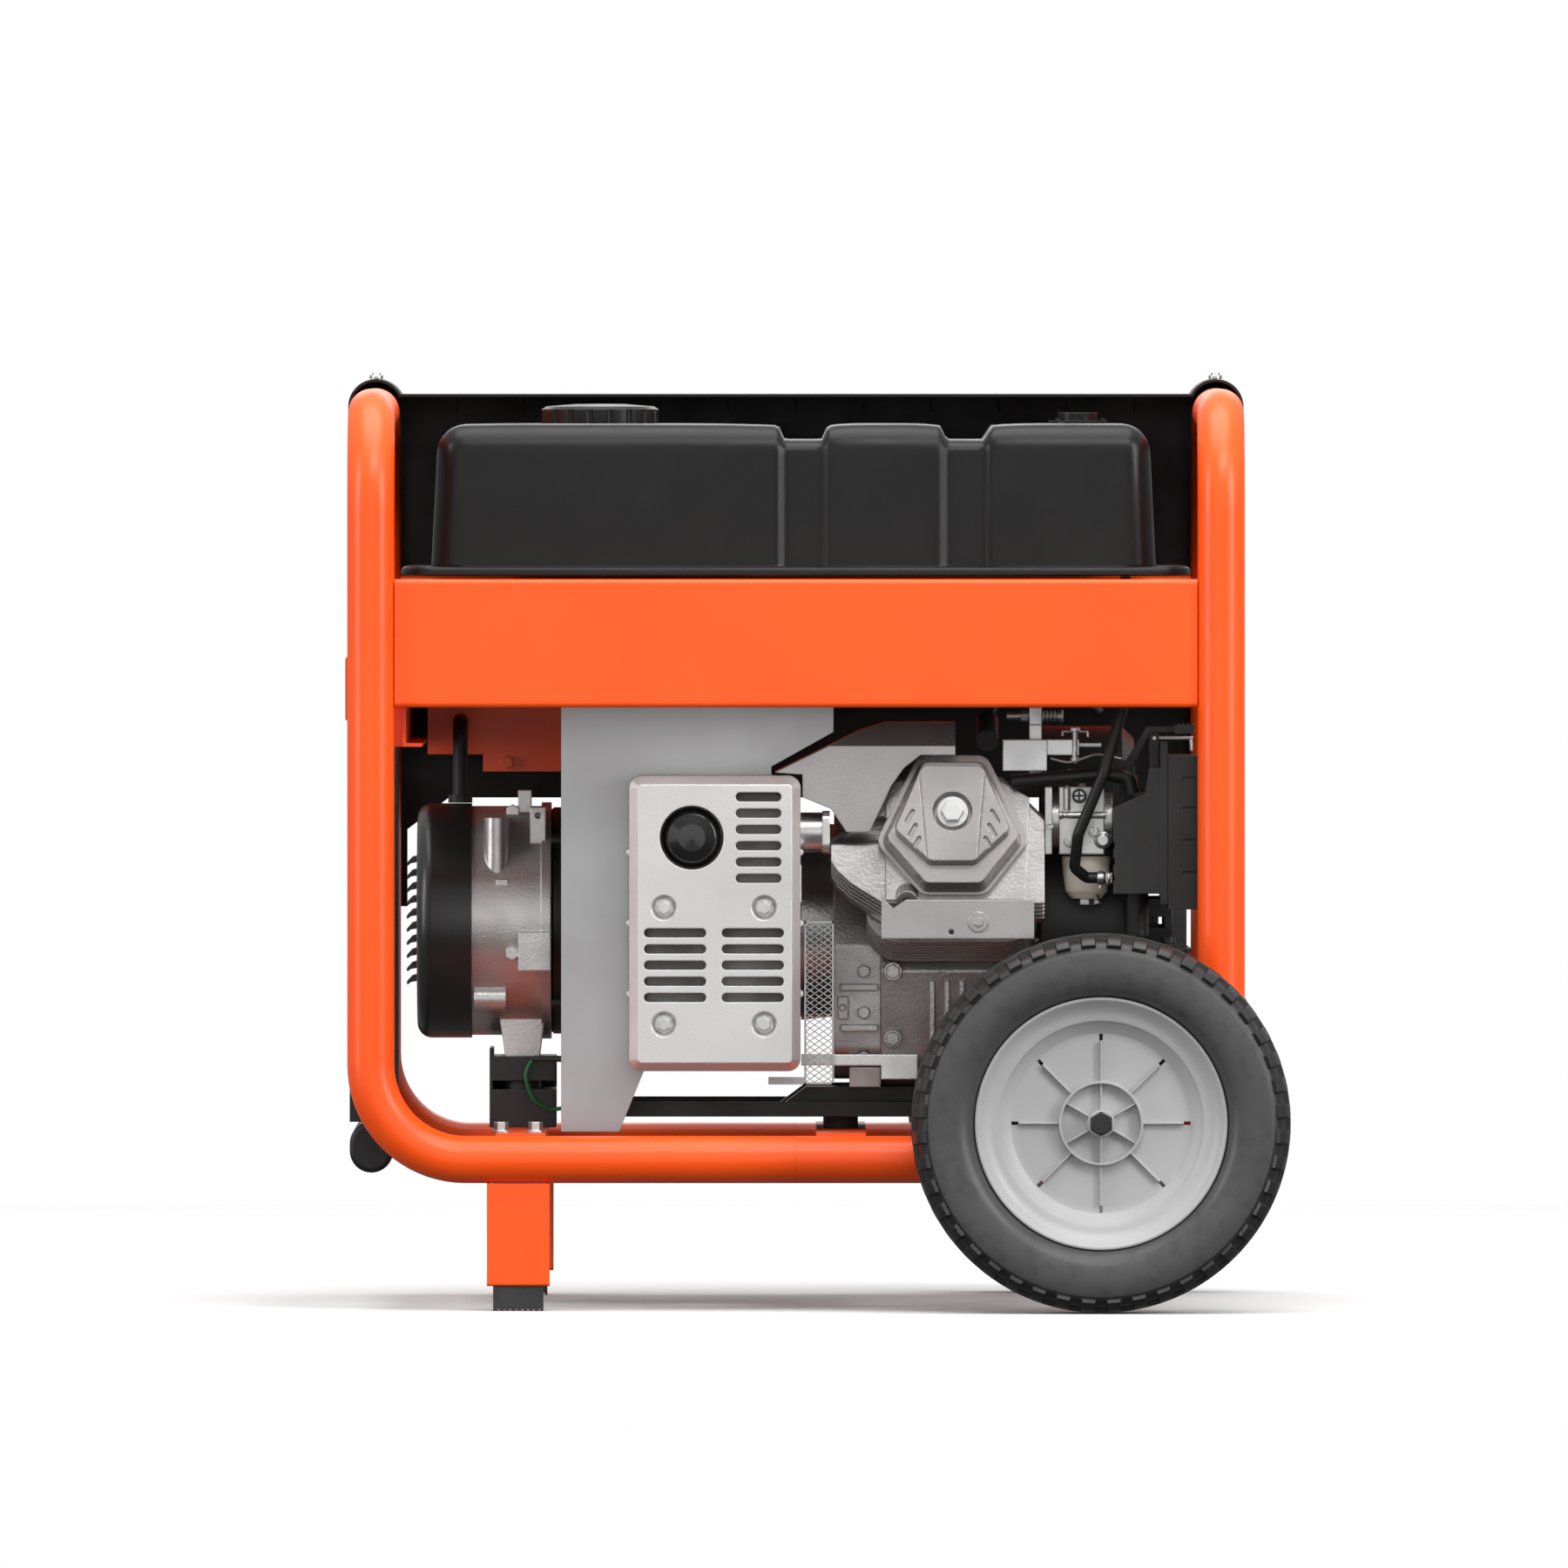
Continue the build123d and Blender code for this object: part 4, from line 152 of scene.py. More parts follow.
# ---------------------------------------------------------------- materials
class Surface:
    """A node material built up from a principled shader."""

    def __init__(self, name, colour, rough=0.5, metal=0.0, specular=0.5, coat=0.0, coat_rough=0.1):
        self.material = bpy.data.materials.new(name)
        self.material.use_nodes = True
        self.tree = self.material.node_tree
        self.shader = self.tree.nodes["Principled BSDF"]
        self.colour = colour
        self.shader.inputs["Base Color"].default_value = (*colour, 1.0)
        self.shader.inputs["Roughness"].default_value = rough
        self.shader.inputs["Metallic"].default_value = metal
        self.shader.inputs["Specular IOR Level"].default_value = specular
        self.shader.inputs["Coat Weight"].default_value = coat
        self.shader.inputs["Coat Roughness"].default_value = coat_rough
        self.place = self.add("ShaderNodeTexCoord").outputs["Object"]
        self.colour_out = None
        self.normal_out = None

    def add(self, kind, **settings):
        node = self.tree.nodes.new(kind)
        for key, value in settings.items():
            setattr(node, key, value)
        return node

    def link(self, source, target):
        self.tree.links.new(source, target)

    def noise(self, scale, detail=3.0):
        noise = self.add("ShaderNodeTexNoise")
        noise.inputs["Scale"].default_value = scale
        noise.inputs["Detail"].default_value = detail
        self.link(self.place, noise.inputs["Vector"])
        return noise.outputs["Fac"]

    def ramp(self, value, low, high, out_low=0.0, out_high=1.0):
        remap = self.add("ShaderNodeMapRange", clamp=True)
        self.link(value, remap.inputs["Value"])
        remap.inputs["From Min"].default_value = low
        remap.inputs["From Max"].default_value = high
        remap.inputs["To Min"].default_value = out_low
        remap.inputs["To Max"].default_value = out_high
        return remap.outputs["Result"]

    def tint(self, mask, colour):
        """Mix another colour in where the mask is 1."""
        mix = self.add("ShaderNodeMix", data_type="RGBA")
        self.link(mask, mix.inputs["Factor"])
        if self.colour_out is None:
            mix.inputs["A"].default_value = (*self.colour, 1.0)
        else:
            self.link(self.colour_out, mix.inputs["A"])
        mix.inputs["B"].default_value = (*colour, 1.0)
        self.colour_out = mix.outputs["Result"]
        self.link(self.colour_out, self.shader.inputs["Base Color"])
        return self

    def mottle(self, scale, colour, low, high, detail=4.0):
        """Patches of another colour, where the noise is between low and high or above."""
        return self.tint(self.ramp(self.noise(scale, detail), low, high), colour)

    def roughen(self, scale, low, high):
        """Let the roughness wander between two values."""
        self.link(self.ramp(self.noise(scale, 4.0), 0.3, 0.7, low, high), self.shader.inputs["Roughness"])
        return self

    def soft_edges(self, radius, wear=None, amount=1.0):
        """Round the edges in the shading, and show a wear colour along them."""
        bevel = self.add("ShaderNodeBevel", samples=4)
        bevel.inputs["Radius"].default_value = radius
        self.normal_out = bevel.outputs["Normal"]
        self.link(self.normal_out, self.shader.inputs["Normal"])
        if wear is not None:
            geometry = self.add("ShaderNodeNewGeometry")
            dot = self.add("ShaderNodeVectorMath", operation="DOT_PRODUCT")
            self.link(bevel.outputs["Normal"], dot.inputs[0])
            self.link(geometry.outputs["True Normal"], dot.inputs[1])
            edge = self.ramp(dot.outputs["Value"], 0.97, 0.80, 0.0, amount)
            broken = self.add("ShaderNodeMath", operation="MULTIPLY")
            self.link(edge, broken.inputs[0])
            self.link(self.ramp(self.noise(160.0), 0.35, 0.6), broken.inputs[1])
            self.tint(broken.outputs["Value"], wear)
        return self

    def grain(self, scale, depth, detail=2.0):
        """Fine unevenness of a given depth, in metres."""
        node = self.add("ShaderNodeBump")
        node.inputs["Distance"].default_value = depth
        self.link(self.noise(scale, detail), node.inputs["Height"])
        if self.normal_out is not None:
            self.link(self.normal_out, node.inputs["Normal"])
        self.normal_out = node.outputs["Normal"]
        self.link(self.normal_out, self.shader.inputs["Normal"])
        return self


def powder_orange():
    """Smooth powder coat with the faintest orange peel."""
    s = Surface("powder_orange", (1.0, 0.094, 0.001), 0.42, 0.0, 0.3, 0.30, 0.28)
    s.mottle(9.0, (0.98, 0.084, 0.001), 0.35, 0.7)
    s.roughen(30.0, 0.36, 0.48)
    return s.soft_edges(0.0012).grain(750.0, 0.00006)


def satin_black(name, level, rough=(0.34, 0.46), specular=0.4, grain=900.0, depth=0.00005):
    """Black paint or plastic, a little greyer in patches and along its edges."""
    s = Surface(name, (level, level, level * 0.99), 0.4, 0.0, specular)
    s.mottle(14.0, (level * 1.5, level * 1.48, level * 1.45), 0.45, 0.8)
    s.roughen(22.0, *rough)
    return s.soft_edges(0.0010, (level * 4 + 0.01,) * 3, 0.35).grain(grain, depth)


def cast_metal(name, colour, dark, rough=(0.32, 0.5), metal=0.75, depth=0.00022):
    """Bare metal with a cast or plated grain, duller in patches and brighter along its edges."""
    s = Surface(name, colour, 0.4, metal, 0.5)
    s.mottle(38.0, dark, 0.42, 0.78)
    s.mottle(7.0, tuple(c * 0.82 for c in colour), 0.45, 0.75)
    s.roughen(26.0, *rough)
    s.soft_edges(0.0016, tuple(min(1.0, c * 1.25) for c in colour), 0.6)
    return s.grain(420.0, depth, 3.0)


def silver_paint(name, colour, rough, metal):
    """Aluminium paint: fine flakes under a thin clear coat."""
    s = Surface(name, colour, 0.35, metal, 0.5, 0.25, 0.2)
    s.mottle(1400.0, tuple(min(1.0, c * 1.12) for c in colour), 0.5, 0.7, detail=0.0)
    s.mottle(6.0, tuple(c * 0.9 for c in colour), 0.4, 0.8)
    s.roughen(18.0, *rough)
    return s.soft_edges(0.0014, tuple(min(1.0, c * 1.2) for c in colour), 0.4).grain(500.0, 0.00006)


def galvanised():
    """Zinc-dipped sheet with faint crystals."""
    s = Surface("galvanised_sheet", (0.50, 0.51, 0.52), 0.4, 0.85)
    cells = s.add("ShaderNodeTexVoronoi")
    cells.inputs["Scale"].default_value = 55.0
    s.link(s.place, cells.inputs["Vector"])
    s.tint(s.ramp(cells.outputs["Color"], 0.2, 0.9), (0.515, 0.525, 0.535))
    s.mottle(3.0, (0.49, 0.50, 0.51), 0.3, 0.8)
    s.roughen(9.0, 0.38, 0.46)
    return s.soft_edges(0.0006, (0.8, 0.8, 0.8), 0.5).grain(260.0, 0.00004)


def rubber(name, level, rough=(0.55, 0.75), scale=500.0, depth=0.0001):
    """Moulded rubber with a bloom in two sizes."""
    s = Surface(name, (level, level, level), 0.65, 0.0, 0.35)
    s.mottle(10.0, (level * 1.35,) * 3, 0.45, 0.8)
    s.mottle(90.0, (level * 0.75,) * 3, 0.5, 0.8)
    s.roughen(30.0, *rough)
    return s.soft_edges(0.0010).grain(scale, depth)


def moulded(name, colour, rough=(0.38, 0.5)):
    """Moulded plastic in a light or a clear colour."""
    s = Surface(name, colour, 0.45, 0.0, 0.45)
    s.mottle(12.0, tuple(c * 0.9 for c in colour), 0.4, 0.75)
    s.roughen(25.0, *rough)
    s.soft_edges(0.0008, tuple(min(1.0, c * 1.25 + 0.005) for c in colour), 0.3)
    return s.grain(650.0, 0.00007)


def make_materials():
    """One surface for each material slot of the record."""
    plated = 0.00004
    made = {
        "frame_orange": powder_orange(),
        "zinc_steel": cast_metal("zinc_plate", (0.62, 0.62, 0.61), (0.5, 0.5, 0.49),
                                 (0.22, 0.36), 0.95, plated),
        "foot_rubber": rubber("foot_rubber", 0.032),
        "black_steel": satin_black("black_stamping", 0.012),
        "cast_aluminium": cast_metal("engine_casting", (0.465, 0.45, 0.44), (0.33, 0.315, 0.31),
                                     (0.25, 0.40), 0.85),
        "bell_aluminium": cast_metal("bell_casting", (0.60, 0.585, 0.575), (0.45, 0.44, 0.43),
                                     (0.28, 0.42), 0.8),
        "valve_cover_paint": silver_paint("valve_cover_paint", (0.38, 0.365, 0.355), (0.22, 0.33), 0.75),
        "shroud_silver": silver_paint("shroud_paint", (0.36, 0.345, 0.34), (0.24, 0.36), 0.75),
        "recoil_black": satin_black("recoil_paint", 0.015),
        "grip_plastic": satin_black("knob_plastic", 0.014, (0.3, 0.42)),
        "carb_alloy": cast_metal("carburettor_alloy", (0.55, 0.55, 0.54), (0.42, 0.42, 0.41),
                                 (0.28, 0.42), 0.85, 0.0001),
        "bowl_plastic": moulded("bowl_resin", (0.94, 0.87, 0.74)),
        "bracket_zinc": cast_metal("bracket_zinc", (0.56, 0.56, 0.56), (0.46, 0.46, 0.46),
                                   (0.25, 0.4), 0.9, plated),
        "cleaner_black": satin_black("cleaner_plastic", 0.013, (0.36, 0.48), 0.4, 700.0, 0.00008),
        "hose_rubber": rubber("hose_rubber", 0.010, (0.32, 0.48)),
        "shield_silver": silver_paint("shield_paint", (0.64, 0.635, 0.63), (0.30, 0.44), 0.65),
        "muffler_steel": cast_metal("muffler_steel", (0.20, 0.19, 0.18), (0.12, 0.11, 0.10),
                                    (0.4, 0.6), 0.8),
        "spark_black": satin_black("outlet_gloss", 0.006, (0.12, 0.2), 0.6, 300.0, 0.00002),
        "galvanised": galvanised(),
        "alternator_black": satin_black("alternator_paint", 0.014, (0.26, 0.38), 0.5),
        "stator_black": satin_black("stator_lacquer", 0.010, (0.35, 0.5)),
        "rotor_steel": cast_metal("rotor_steel", (0.35, 0.34, 0.33), (0.25, 0.24, 0.23)),
        "tank_black": satin_black("tank_plastic", 0.0060, (0.30, 0.42), 0.25),
        "fascia_black": satin_black("fascia_plastic", 0.0060, (0.36, 0.5), 0.28),
        "outlet_black": satin_black("outlet_plastic", 0.016, (0.25, 0.38)),
        "wiring_black": rubber("loom_sleeve", 0.011, (0.4, 0.55)),
        "battery_black": satin_black("battery_case", 0.014),
        "tyre_rubber": rubber("tyre_rubber", 0.062, (0.34, 0.46), 320.0, 0.00008),
        "rim_grey": moulded("rim_nylon", (0.42, 0.42, 0.42), (0.34, 0.46)),
        "handle_black": satin_black("handle_paint", 0.012),
        "handle_rubber": rubber("grip_rubber", 0.013, (0.4, 0.55), 900.0, 0.0001),
    }
    return {name: surface.material for name, surface in made.items()}


def dress_cad(materials):
    """Give every CAD node its slot's surface."""
    for part in record["subparts"]:
        mesh = nodes[part["node"]].data
        mesh.materials.clear()
        mesh.materials.append(materials[part["material_slot"]])


# ---------------------------------------------------------------- meshes that stand for CAD nodes
def new_piece(name, points, faces, body, slot_name, *stands_for):
    """A mesh object in the row frame, in metres, that rides on a body and takes a slot's surface."""
    mesh = bpy.data.meshes.new(name)
    mesh.from_pydata([tuple(p) for p in points], [], faces)
    mesh.polygons.foreach_set("use_smooth", [True] * len(mesh.polygons))
    mesh.materials.append(materials[slot_name])
    mesh.update()
    piece = bpy.data.objects.new(name, mesh)
    bpy.context.scene.collection.objects.link(piece)
    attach(piece, body)
    if stands_for:
        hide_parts(*stands_for)
    return piece


def body_of_node(node):
    """Name of the body that carries a CAD node."""
    return next(name for name, held in record["behaviour"]["bodies"].items() if node in held)


def finish_piece(shape, name, slot_name, node, smooth):
    """Turn a bmesh into an object that stands for a CAD node."""
    mesh = bpy.data.meshes.new(name)
    shape.to_mesh(mesh)
    shape.free()
    mesh.polygons.foreach_set("use_smooth", [smooth] * len(mesh.polygons))
    mesh.materials.append(materials[slot_name])
    piece = bpy.data.objects.new(name, mesh)
    bpy.context.scene.collection.objects.link(piece)
    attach(piece, body_of_node(node))
    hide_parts(node)


# Tyre section from the bead to the middle of the tread, as distance from the wheel's middle plane,
# radius and the row of tread blocks that it belongs to (0 is the carcass between them), in mm
TYRE_HALF = (
    (23.9, 98.6, 0), (24.2, 101.4, 0), (26.4, 102.3, 0), (29.5, 103.6, 0), (33.0, 106.4, 0),
    (35.8, 110.4, 0), (37.7, 115.2, 0), (38.6, 120.4, 0), (38.9, 125.6, 0), (38.6, 130.6, 0),
    (37.9, 135.2, 0), (36.9, 138.8, 0), (35.9, 140.6, 0), (35.5, 141.2, 1), (33.6, 143.4, 1),
    (30.6, 145.6, 1), (26.5, 147.2, 1), (22.0, 147.9, 1), (21.5, 147.9, 0), (19.0, 148.1, 0),
    (18.5, 148.1, 2), (12.5, 148.4, 2), (8.5, 148.5, 2), (8.0, 148.5, 0), (5.6, 148.6, 0),
    (5.1, 148.6, 1), (0.0, 148.7, 1))
TYRE_INSIDE = ((-22.0, 97.8, 0), (22.0, 97.8, 0))
TREAD_FROM = 12                # section points from here on are tread, in a darker rubber
BLOCKS_ROUND = 44
BLOCK_STEPS = (0.0, 0.13, 0.21, 0.25, 0.29, 0.37, 0.5, 0.63, 0.71, 0.75, 0.79, 0.87)     # of one pitch
BLOCK_SPAN = (0.23, 0.77)
BLOCK_HEIGHT = 3.6


def block_rise(fraction, row):
    """How far a tread block stands up, 0 to 1, at a fraction of one pitch round the tyre."""
    shifted = (fraction + (0.5 if row == 2 else 0.0)) % 1.0
    return 1.0 if BLOCK_SPAN[0] < shifted < BLOCK_SPAN[1] else 0.0


def make_tyre(node):
    """A pneumatic tyre with rows of tread blocks that overlap its shoulders."""
    low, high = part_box(node)
    centre = [(a + b) / 2 for a, b in zip(low, high)]
    section = [(a, r, row) for a, r, row in TYRE_HALF]
    section += [(-a, r, row) for a, r, row in reversed(TYRE_HALF[:-1])]
    section += TYRE_INSIDE
    count = len(section)
    columns = [(pitch + step) / BLOCKS_ROUND for pitch in range(BLOCKS_ROUND) for step in BLOCK_STEPS]
    steps = len(BLOCK_STEPS)
    points = []
    for place, turn in enumerate(columns):
        angle = 2 * pi * turn
        for k, (across, radius, row) in enumerate(section):
            before = section[max(k - 1, 0)]
            after = section[min(k + 1, count - 1)]
            along = Vector((after[0] - before[0], after[1] - before[1])).normalized()
            rise = block_rise(BLOCK_STEPS[place % steps], row) * BLOCK_HEIGHT if row else 0.0
            y = across + along.y * rise
            r = radius - along.x * rise
            points.append((centre[0] + r * MM * cos(angle), centre[1] + y * MM,
                           centre[2] + r * MM * sin(angle)))
    total = len(columns)
    faces = []
    for i in range(total):
        here, there = i * count, ((i + 1) % total) * count
        for k in range(count):
            after = (k + 1) % count
            faces.append((here + k, there + k, there + after, here + after))
    tyre = new_piece(node + "_casing", points, faces, body_of_node(node), "tyre_rubber", node)
    tyre.data.materials.append(tread_material)
    tread = [TREAD_FROM <= k % count < count - 2 - TREAD_FROM for k in range(total * count)]
    tyre.data.polygons.foreach_set("material_index", [int(flag) for flag in tread])
    tyre.data.set_sharp_from_angle(angle=radians(38.0))


# Rim section, as distance out from the wheel's middle plane and radius, in mm
WHEEL_MIDDLE = 310.0           # distance of a wheel's middle plane from the middle of the object
RIM_DISC_FACE = 9.0
RIM_DISC_BACK = 6.0
RIM_SLOT = (66.4, 71.8)
RIM_SLOTS = 8
RIM_SLOT_HALF = radians(1.15)
RIM_STEPS = 14                 # columns of faces between two slots
RIM_FRONT = (
    (24.4, 8.06), (24.4, 10.2), (23.8, 10.8), (RIM_DISC_FACE + 0.3, 11.3), (RIM_DISC_FACE, 12.0),
    (RIM_DISC_FACE, 31.2), (RIM_DISC_FACE + 0.4, 31.6), (15.9, 31.8), (16.4, 32.2), (16.4, 33.4),
    (15.9, 33.8), (RIM_DISC_FACE + 0.4, 34.0), (RIM_DISC_FACE, 34.4), (RIM_DISC_FACE, RIM_SLOT[0]),
    (RIM_DISC_FACE, RIM_SLOT[1]), (RIM_DISC_FACE + 0.3, 72.6), (15.2, 80.6), (16.4, 81.6), (17.7, 82.2),
    (18.2, 83.4), (18.6, 86.4), (19.5, 89.6), (21.2, 92.6), (23.6, 95.4), (26.2, 97.6), (27.4, 98.5),
    (28.0, 99.4), (27.9, 100.8), (27.2, 101.4), (24.6, 101.2), (24.4, 97.5))
RIM_REAR = (
    (-24.4, 97.5), (-24.6, 101.2), (-27.2, 101.4), (-27.9, 100.8), (-28.0, 99.0), (-20.0, 95.6),
    (10.0, 93.4), (13.4, 86.0), (13.0, 81.6), (RIM_DISC_BACK + 0.4, 73.6), (RIM_DISC_BACK, RIM_SLOT[1]),
    (RIM_DISC_BACK, RIM_SLOT[0]), (RIM_DISC_BACK, 17.6), (5.4, 17.0), (-35.6, 17.0), (-36.0, 16.6),
    (-36.0, 8.06))
RIM_RIBS = (                   # count, angle of the first, from, to, and height above the disc
    (8, 0.0, 33.6, 66.2, 4.2),
    (6, pi / 6, 10.9, 31.9, 5.4))


def make_rim(node, side):
    """A moulded wheel with ribs and drain slots in its disc."""
    low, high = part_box(node)
    centre = ((low[0] + high[0]) / 2, side * WHEEL_MIDDLE * MM, (low[2] + high[2]) / 2)
    section = RIM_FRONT + RIM_REAR
    count = len(section)
    front_slot = section.index((RIM_DISC_FACE, RIM_SLOT[0]))
    back_slot = section.index((RIM_DISC_BACK, RIM_SLOT[1]))
    sector = 2 * pi / RIM_SLOTS
    span = sector - 2 * RIM_SLOT_HALF
    columns = []
    for k in range(RIM_SLOTS):
        start = k * sector + RIM_SLOT_HALF
        columns += [start + span * step / RIM_STEPS for step in range(RIM_STEPS + 1)]
    total = len(columns)

    def place(out, radius, angle):
        return (centre[0] + radius * MM * cos(angle), centre[1] + side * out * MM,
                centre[2] + radius * MM * sin(angle))

    points = [place(out, radius, angle) for angle in columns for out, radius in section]
    faces = []
    for i in range(total):
        here, there = i * count, ((i + 1) % total) * count
        slotted = i % (RIM_STEPS + 1) == RIM_STEPS
        for k in range(count):
            if slotted and k in (front_slot, back_slot):
                continue
            faces.append((here + k, there + k, there + (k + 1) % count, here + (k + 1) % count))
        if slotted:
            for k, twin in ((front_slot, back_slot + 1), (front_slot + 1, back_slot)):
                faces.append((here + k, there + k, there + twin, here + twin))
            for edge in (here, there):
                slot = (front_slot, front_slot + 1, back_slot, back_slot + 1)
                faces.append(tuple(edge + corner for corner in slot))
    for ribs, first_angle, inner, outer, height in RIM_RIBS:
        for k in range(ribs):
            angle = 2 * pi * k / ribs + first_angle
            first = len(points)
            for radius in (inner, outer):
                for out, half in ((RIM_DISC_FACE - 0.5, 1.0), (RIM_DISC_FACE + height - 0.3, 0.65),
                                  (RIM_DISC_FACE + height, 0.4)):
                    for sign in (-1, 1):
                        points.append(place(out, radius, angle + sign * half / radius))
            ring = (0, 2, 4, 5, 3, 1)
            for a, b in zip(ring, ring[1:] + ring[:1]):
                faces.append((first + a, first + b, first + 6 + b, first + 6 + a))
            faces.append(tuple(first + a for a in reversed(ring)))
            faces.append(tuple(first + 6 + a for a in ring))
    rim = new_piece(node + "_moulding", points, faces, body_of_node(node), "rim_grey", node)
    tidy = bmesh.new()
    tidy.from_mesh(rim.data)
    bmesh.ops.recalc_face_normals(tidy, faces=tidy.faces)
    tidy.to_mesh(rim.data)
    tidy.free()
    rim.data.set_sharp_from_angle(angle=radians(32.0))


# Tank: rounded box with pressed grooves for its straps, in mm
TANK_MIDDLE = (-18.25, -11.0)
TANK_HALF = (293.25, 201.0)
TANK_FOOT = 595.0
TANK_TOP = 712.0
TANK_GRID = (150, 56, 30)      # faces along X, Y and Z
TANK_CORNER = 21.0
GROOVES = (-10.5, 120.2)
PANELS = ((-311.5, -31.5), (10.5, 99.0), (141.4, 275.0))
GROOVE_HALF = (14.5, 20.5)     # half width of the flat of a groove, and to the top of its rounded sides
GROOVE_DEPTH = {"top": 11.0, "side": 4.5}
PANEL_CROWN = 1.6
TANK_TAPER = 6.0               # how much narrower the top is at each end


def smooth_step(value):
    value = min(max(value, 0.0), 1.0)
    return value * value * (3.0 - 2.0 * value)


def groove_share(x):
    """How deep in a strap groove a place along the tank is, 0 to 1."""
    away = min(abs(x - groove) for groove in GROOVES)
    return 1.0 - smooth_step((away - GROOVE_HALF[0]) / (GROOVE_HALF[1] - GROOVE_HALF[0]))


def panel_crown(x):
    """How far the tank bulges between its grooves."""
    for start, end in PANELS:
        if start < x < end:
            across = (x - start) / (end - start)
            return PANEL_CROWN * (1.0 - (2.0 * across - 1.0) ** 4)
    return 0.0


def make_tank():
    """The shell of the fuel tank, with its foot rim and its filler neck."""
    middle = Vector((*TANK_MIDDLE, (TANK_FOOT + TANK_TOP) / 2))
    half = Vector((TANK_HALF[0] - PANEL_CROWN, TANK_HALF[1] - PANEL_CROWN,
                   (TANK_TOP - TANK_FOOT) / 2 - PANEL_CROWN * 0.5))
    inner = half - Vector((TANK_CORNER,) * 3)
    mesh = bmesh.new()
    made = {}

    def corner_point(key):
        if key in made:
            return made[key]
        cube = [2.0 * key[axis] / TANK_GRID[axis] - 1.0 for axis in range(3)]
        flat = Vector([cube[axis] * half[axis] for axis in range(3)])
        held = Vector([min(max(flat[axis], -inner[axis]), inner[axis]) for axis in range(3)])
        if flat.z < 0.0:
            held.z = flat.z
        away = flat - held
        on_foot = away.length < 1e-6 and flat.z < 0.0
        if away.length < 1e-6:
            away = Vector([cube[axis] if abs(cube[axis]) > 0.9999 else 0.0 for axis in range(3)])
        normal = away.normalized()
        point = middle + (flat if on_foot else held + normal * TANK_CORNER)
        point.x -= cube[0] * TANK_TAPER * (cube[2] + 1.0) / 2
        groove = groove_share(point.x)
        point += normal * panel_crown(point.x) * (1.0 - groove)
        point.y -= normal.y * GROOVE_DEPTH["side"] * groove
        point.z -= max(normal.z, 0.0) * GROOVE_DEPTH["top"] * groove
        made[key] = mesh.verts.new(point * MM)
        return made[key]

    for axis in range(3):
        u, v = [a for a in range(3) if a != axis]
        for side in (0, TANK_GRID[axis]):
            for i in range(TANK_GRID[u]):
                for j in range(TANK_GRID[v]):
                    ring = []
                    for di, dj in ((0, 0), (1, 0), (1, 1), (0, 1)):
                        key = [0, 0, 0]
                        key[axis], key[u], key[v] = side, i + di, j + dj
                        ring.append(corner_point(tuple(key)))
                    mesh.faces.new(ring)
    bmesh.ops.recalc_face_normals(mesh, faces=mesh.faces)
    finish_piece(mesh, "tank_shell", "tank_black", "fuel_tank", smooth=True)
    make_tank_flange()
    make_tank_neck()


def make_tank_neck():
    """The filler neck below the cap."""
    low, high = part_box("fuel_cap")
    centre = ((low[0] + high[0]) / 2, (low[1] + high[1]) / 2)
    foot, top = low[2] - 0.012, high[2] - 0.009
    turned_piece("tank_neck", centre, ((0.0, foot), (0.0405, foot), (0.0415, foot + 0.004),
                                       (0.0415, top - 0.001), (0.0405, top), (0.0, top)))


def turned_piece(name, centre, profile):
    """A piece turned about a vertical axis; the profile is (radius, height)."""
    turns = 72
    points = []
    for k in range(turns):
        angle = 2 * pi * k / turns
        points += [(centre[0] + r * cos(angle), centre[1] + r * sin(angle), z) for r, z in profile]
    count = len(profile)
    faces = []
    for k in range(turns):
        start, after = k * count, ((k + 1) % turns) * count
        faces += [(start + i, after + i, after + i + 1, start + i + 1) for i in range(count - 1)]
    piece = new_piece(name, points, faces, body_of_node("fuel_tank"), "tank_black")
    weld = bmesh.new()
    weld.from_mesh(piece.data)
    bmesh.ops.remove_doubles(weld, verts=weld.verts, dist=1e-6)
    bmesh.ops.recalc_face_normals(weld, faces=weld.faces)
    weld.to_mesh(piece.data)
    weld.free()
    piece.data.set_sharp_from_angle(angle=radians(40.0))


def make_tank_flange():
    """The welded rim round the foot of the tank."""
    low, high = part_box("fuel_tank")
    half = ((high[0] - low[0]) / 2, (high[1] - low[1]) / 2)
    centre = ((high[0] + low[0]) / 2, (high[1] + low[1]) / 2)
    corner = 0.024
    rings = ((0.004, 0.5905), (0.0, 0.5915), (0.0, 0.5955), (0.0015, 0.5975), (0.010, 0.5985))
    points = []
    per_corner = 10
    for inset, z in rings:
        for quarter in range(4):
            sx = 1 if quarter in (0, 3) else -1
            sy = 1 if quarter in (0, 1) else -1
            for k in range(per_corner):
                angle = pi / 2 * (quarter + k / (per_corner - 1))
                points.append((centre[0] + sx * (half[0] - corner) + (corner - inset) * cos(angle),
                               centre[1] + sy * (half[1] - corner) + (corner - inset) * sin(angle), z))
    loop = 4 * per_corner
    faces = [(r * loop + k, r * loop + (k + 1) % loop, (r + 1) * loop + (k + 1) % loop, (r + 1) * loop + k)
             for r in range(len(rings) - 1) for k in range(loop)]
    faces.append(tuple(reversed(range(loop))))
    faces.append(tuple(range((len(rings) - 1) * loop, len(rings) * loop)))
    flange = new_piece("tank_flange", points, faces, body_of_node("fuel_tank"), "tank_black")
    flange.data.set_sharp_from_angle(angle=radians(50.0))


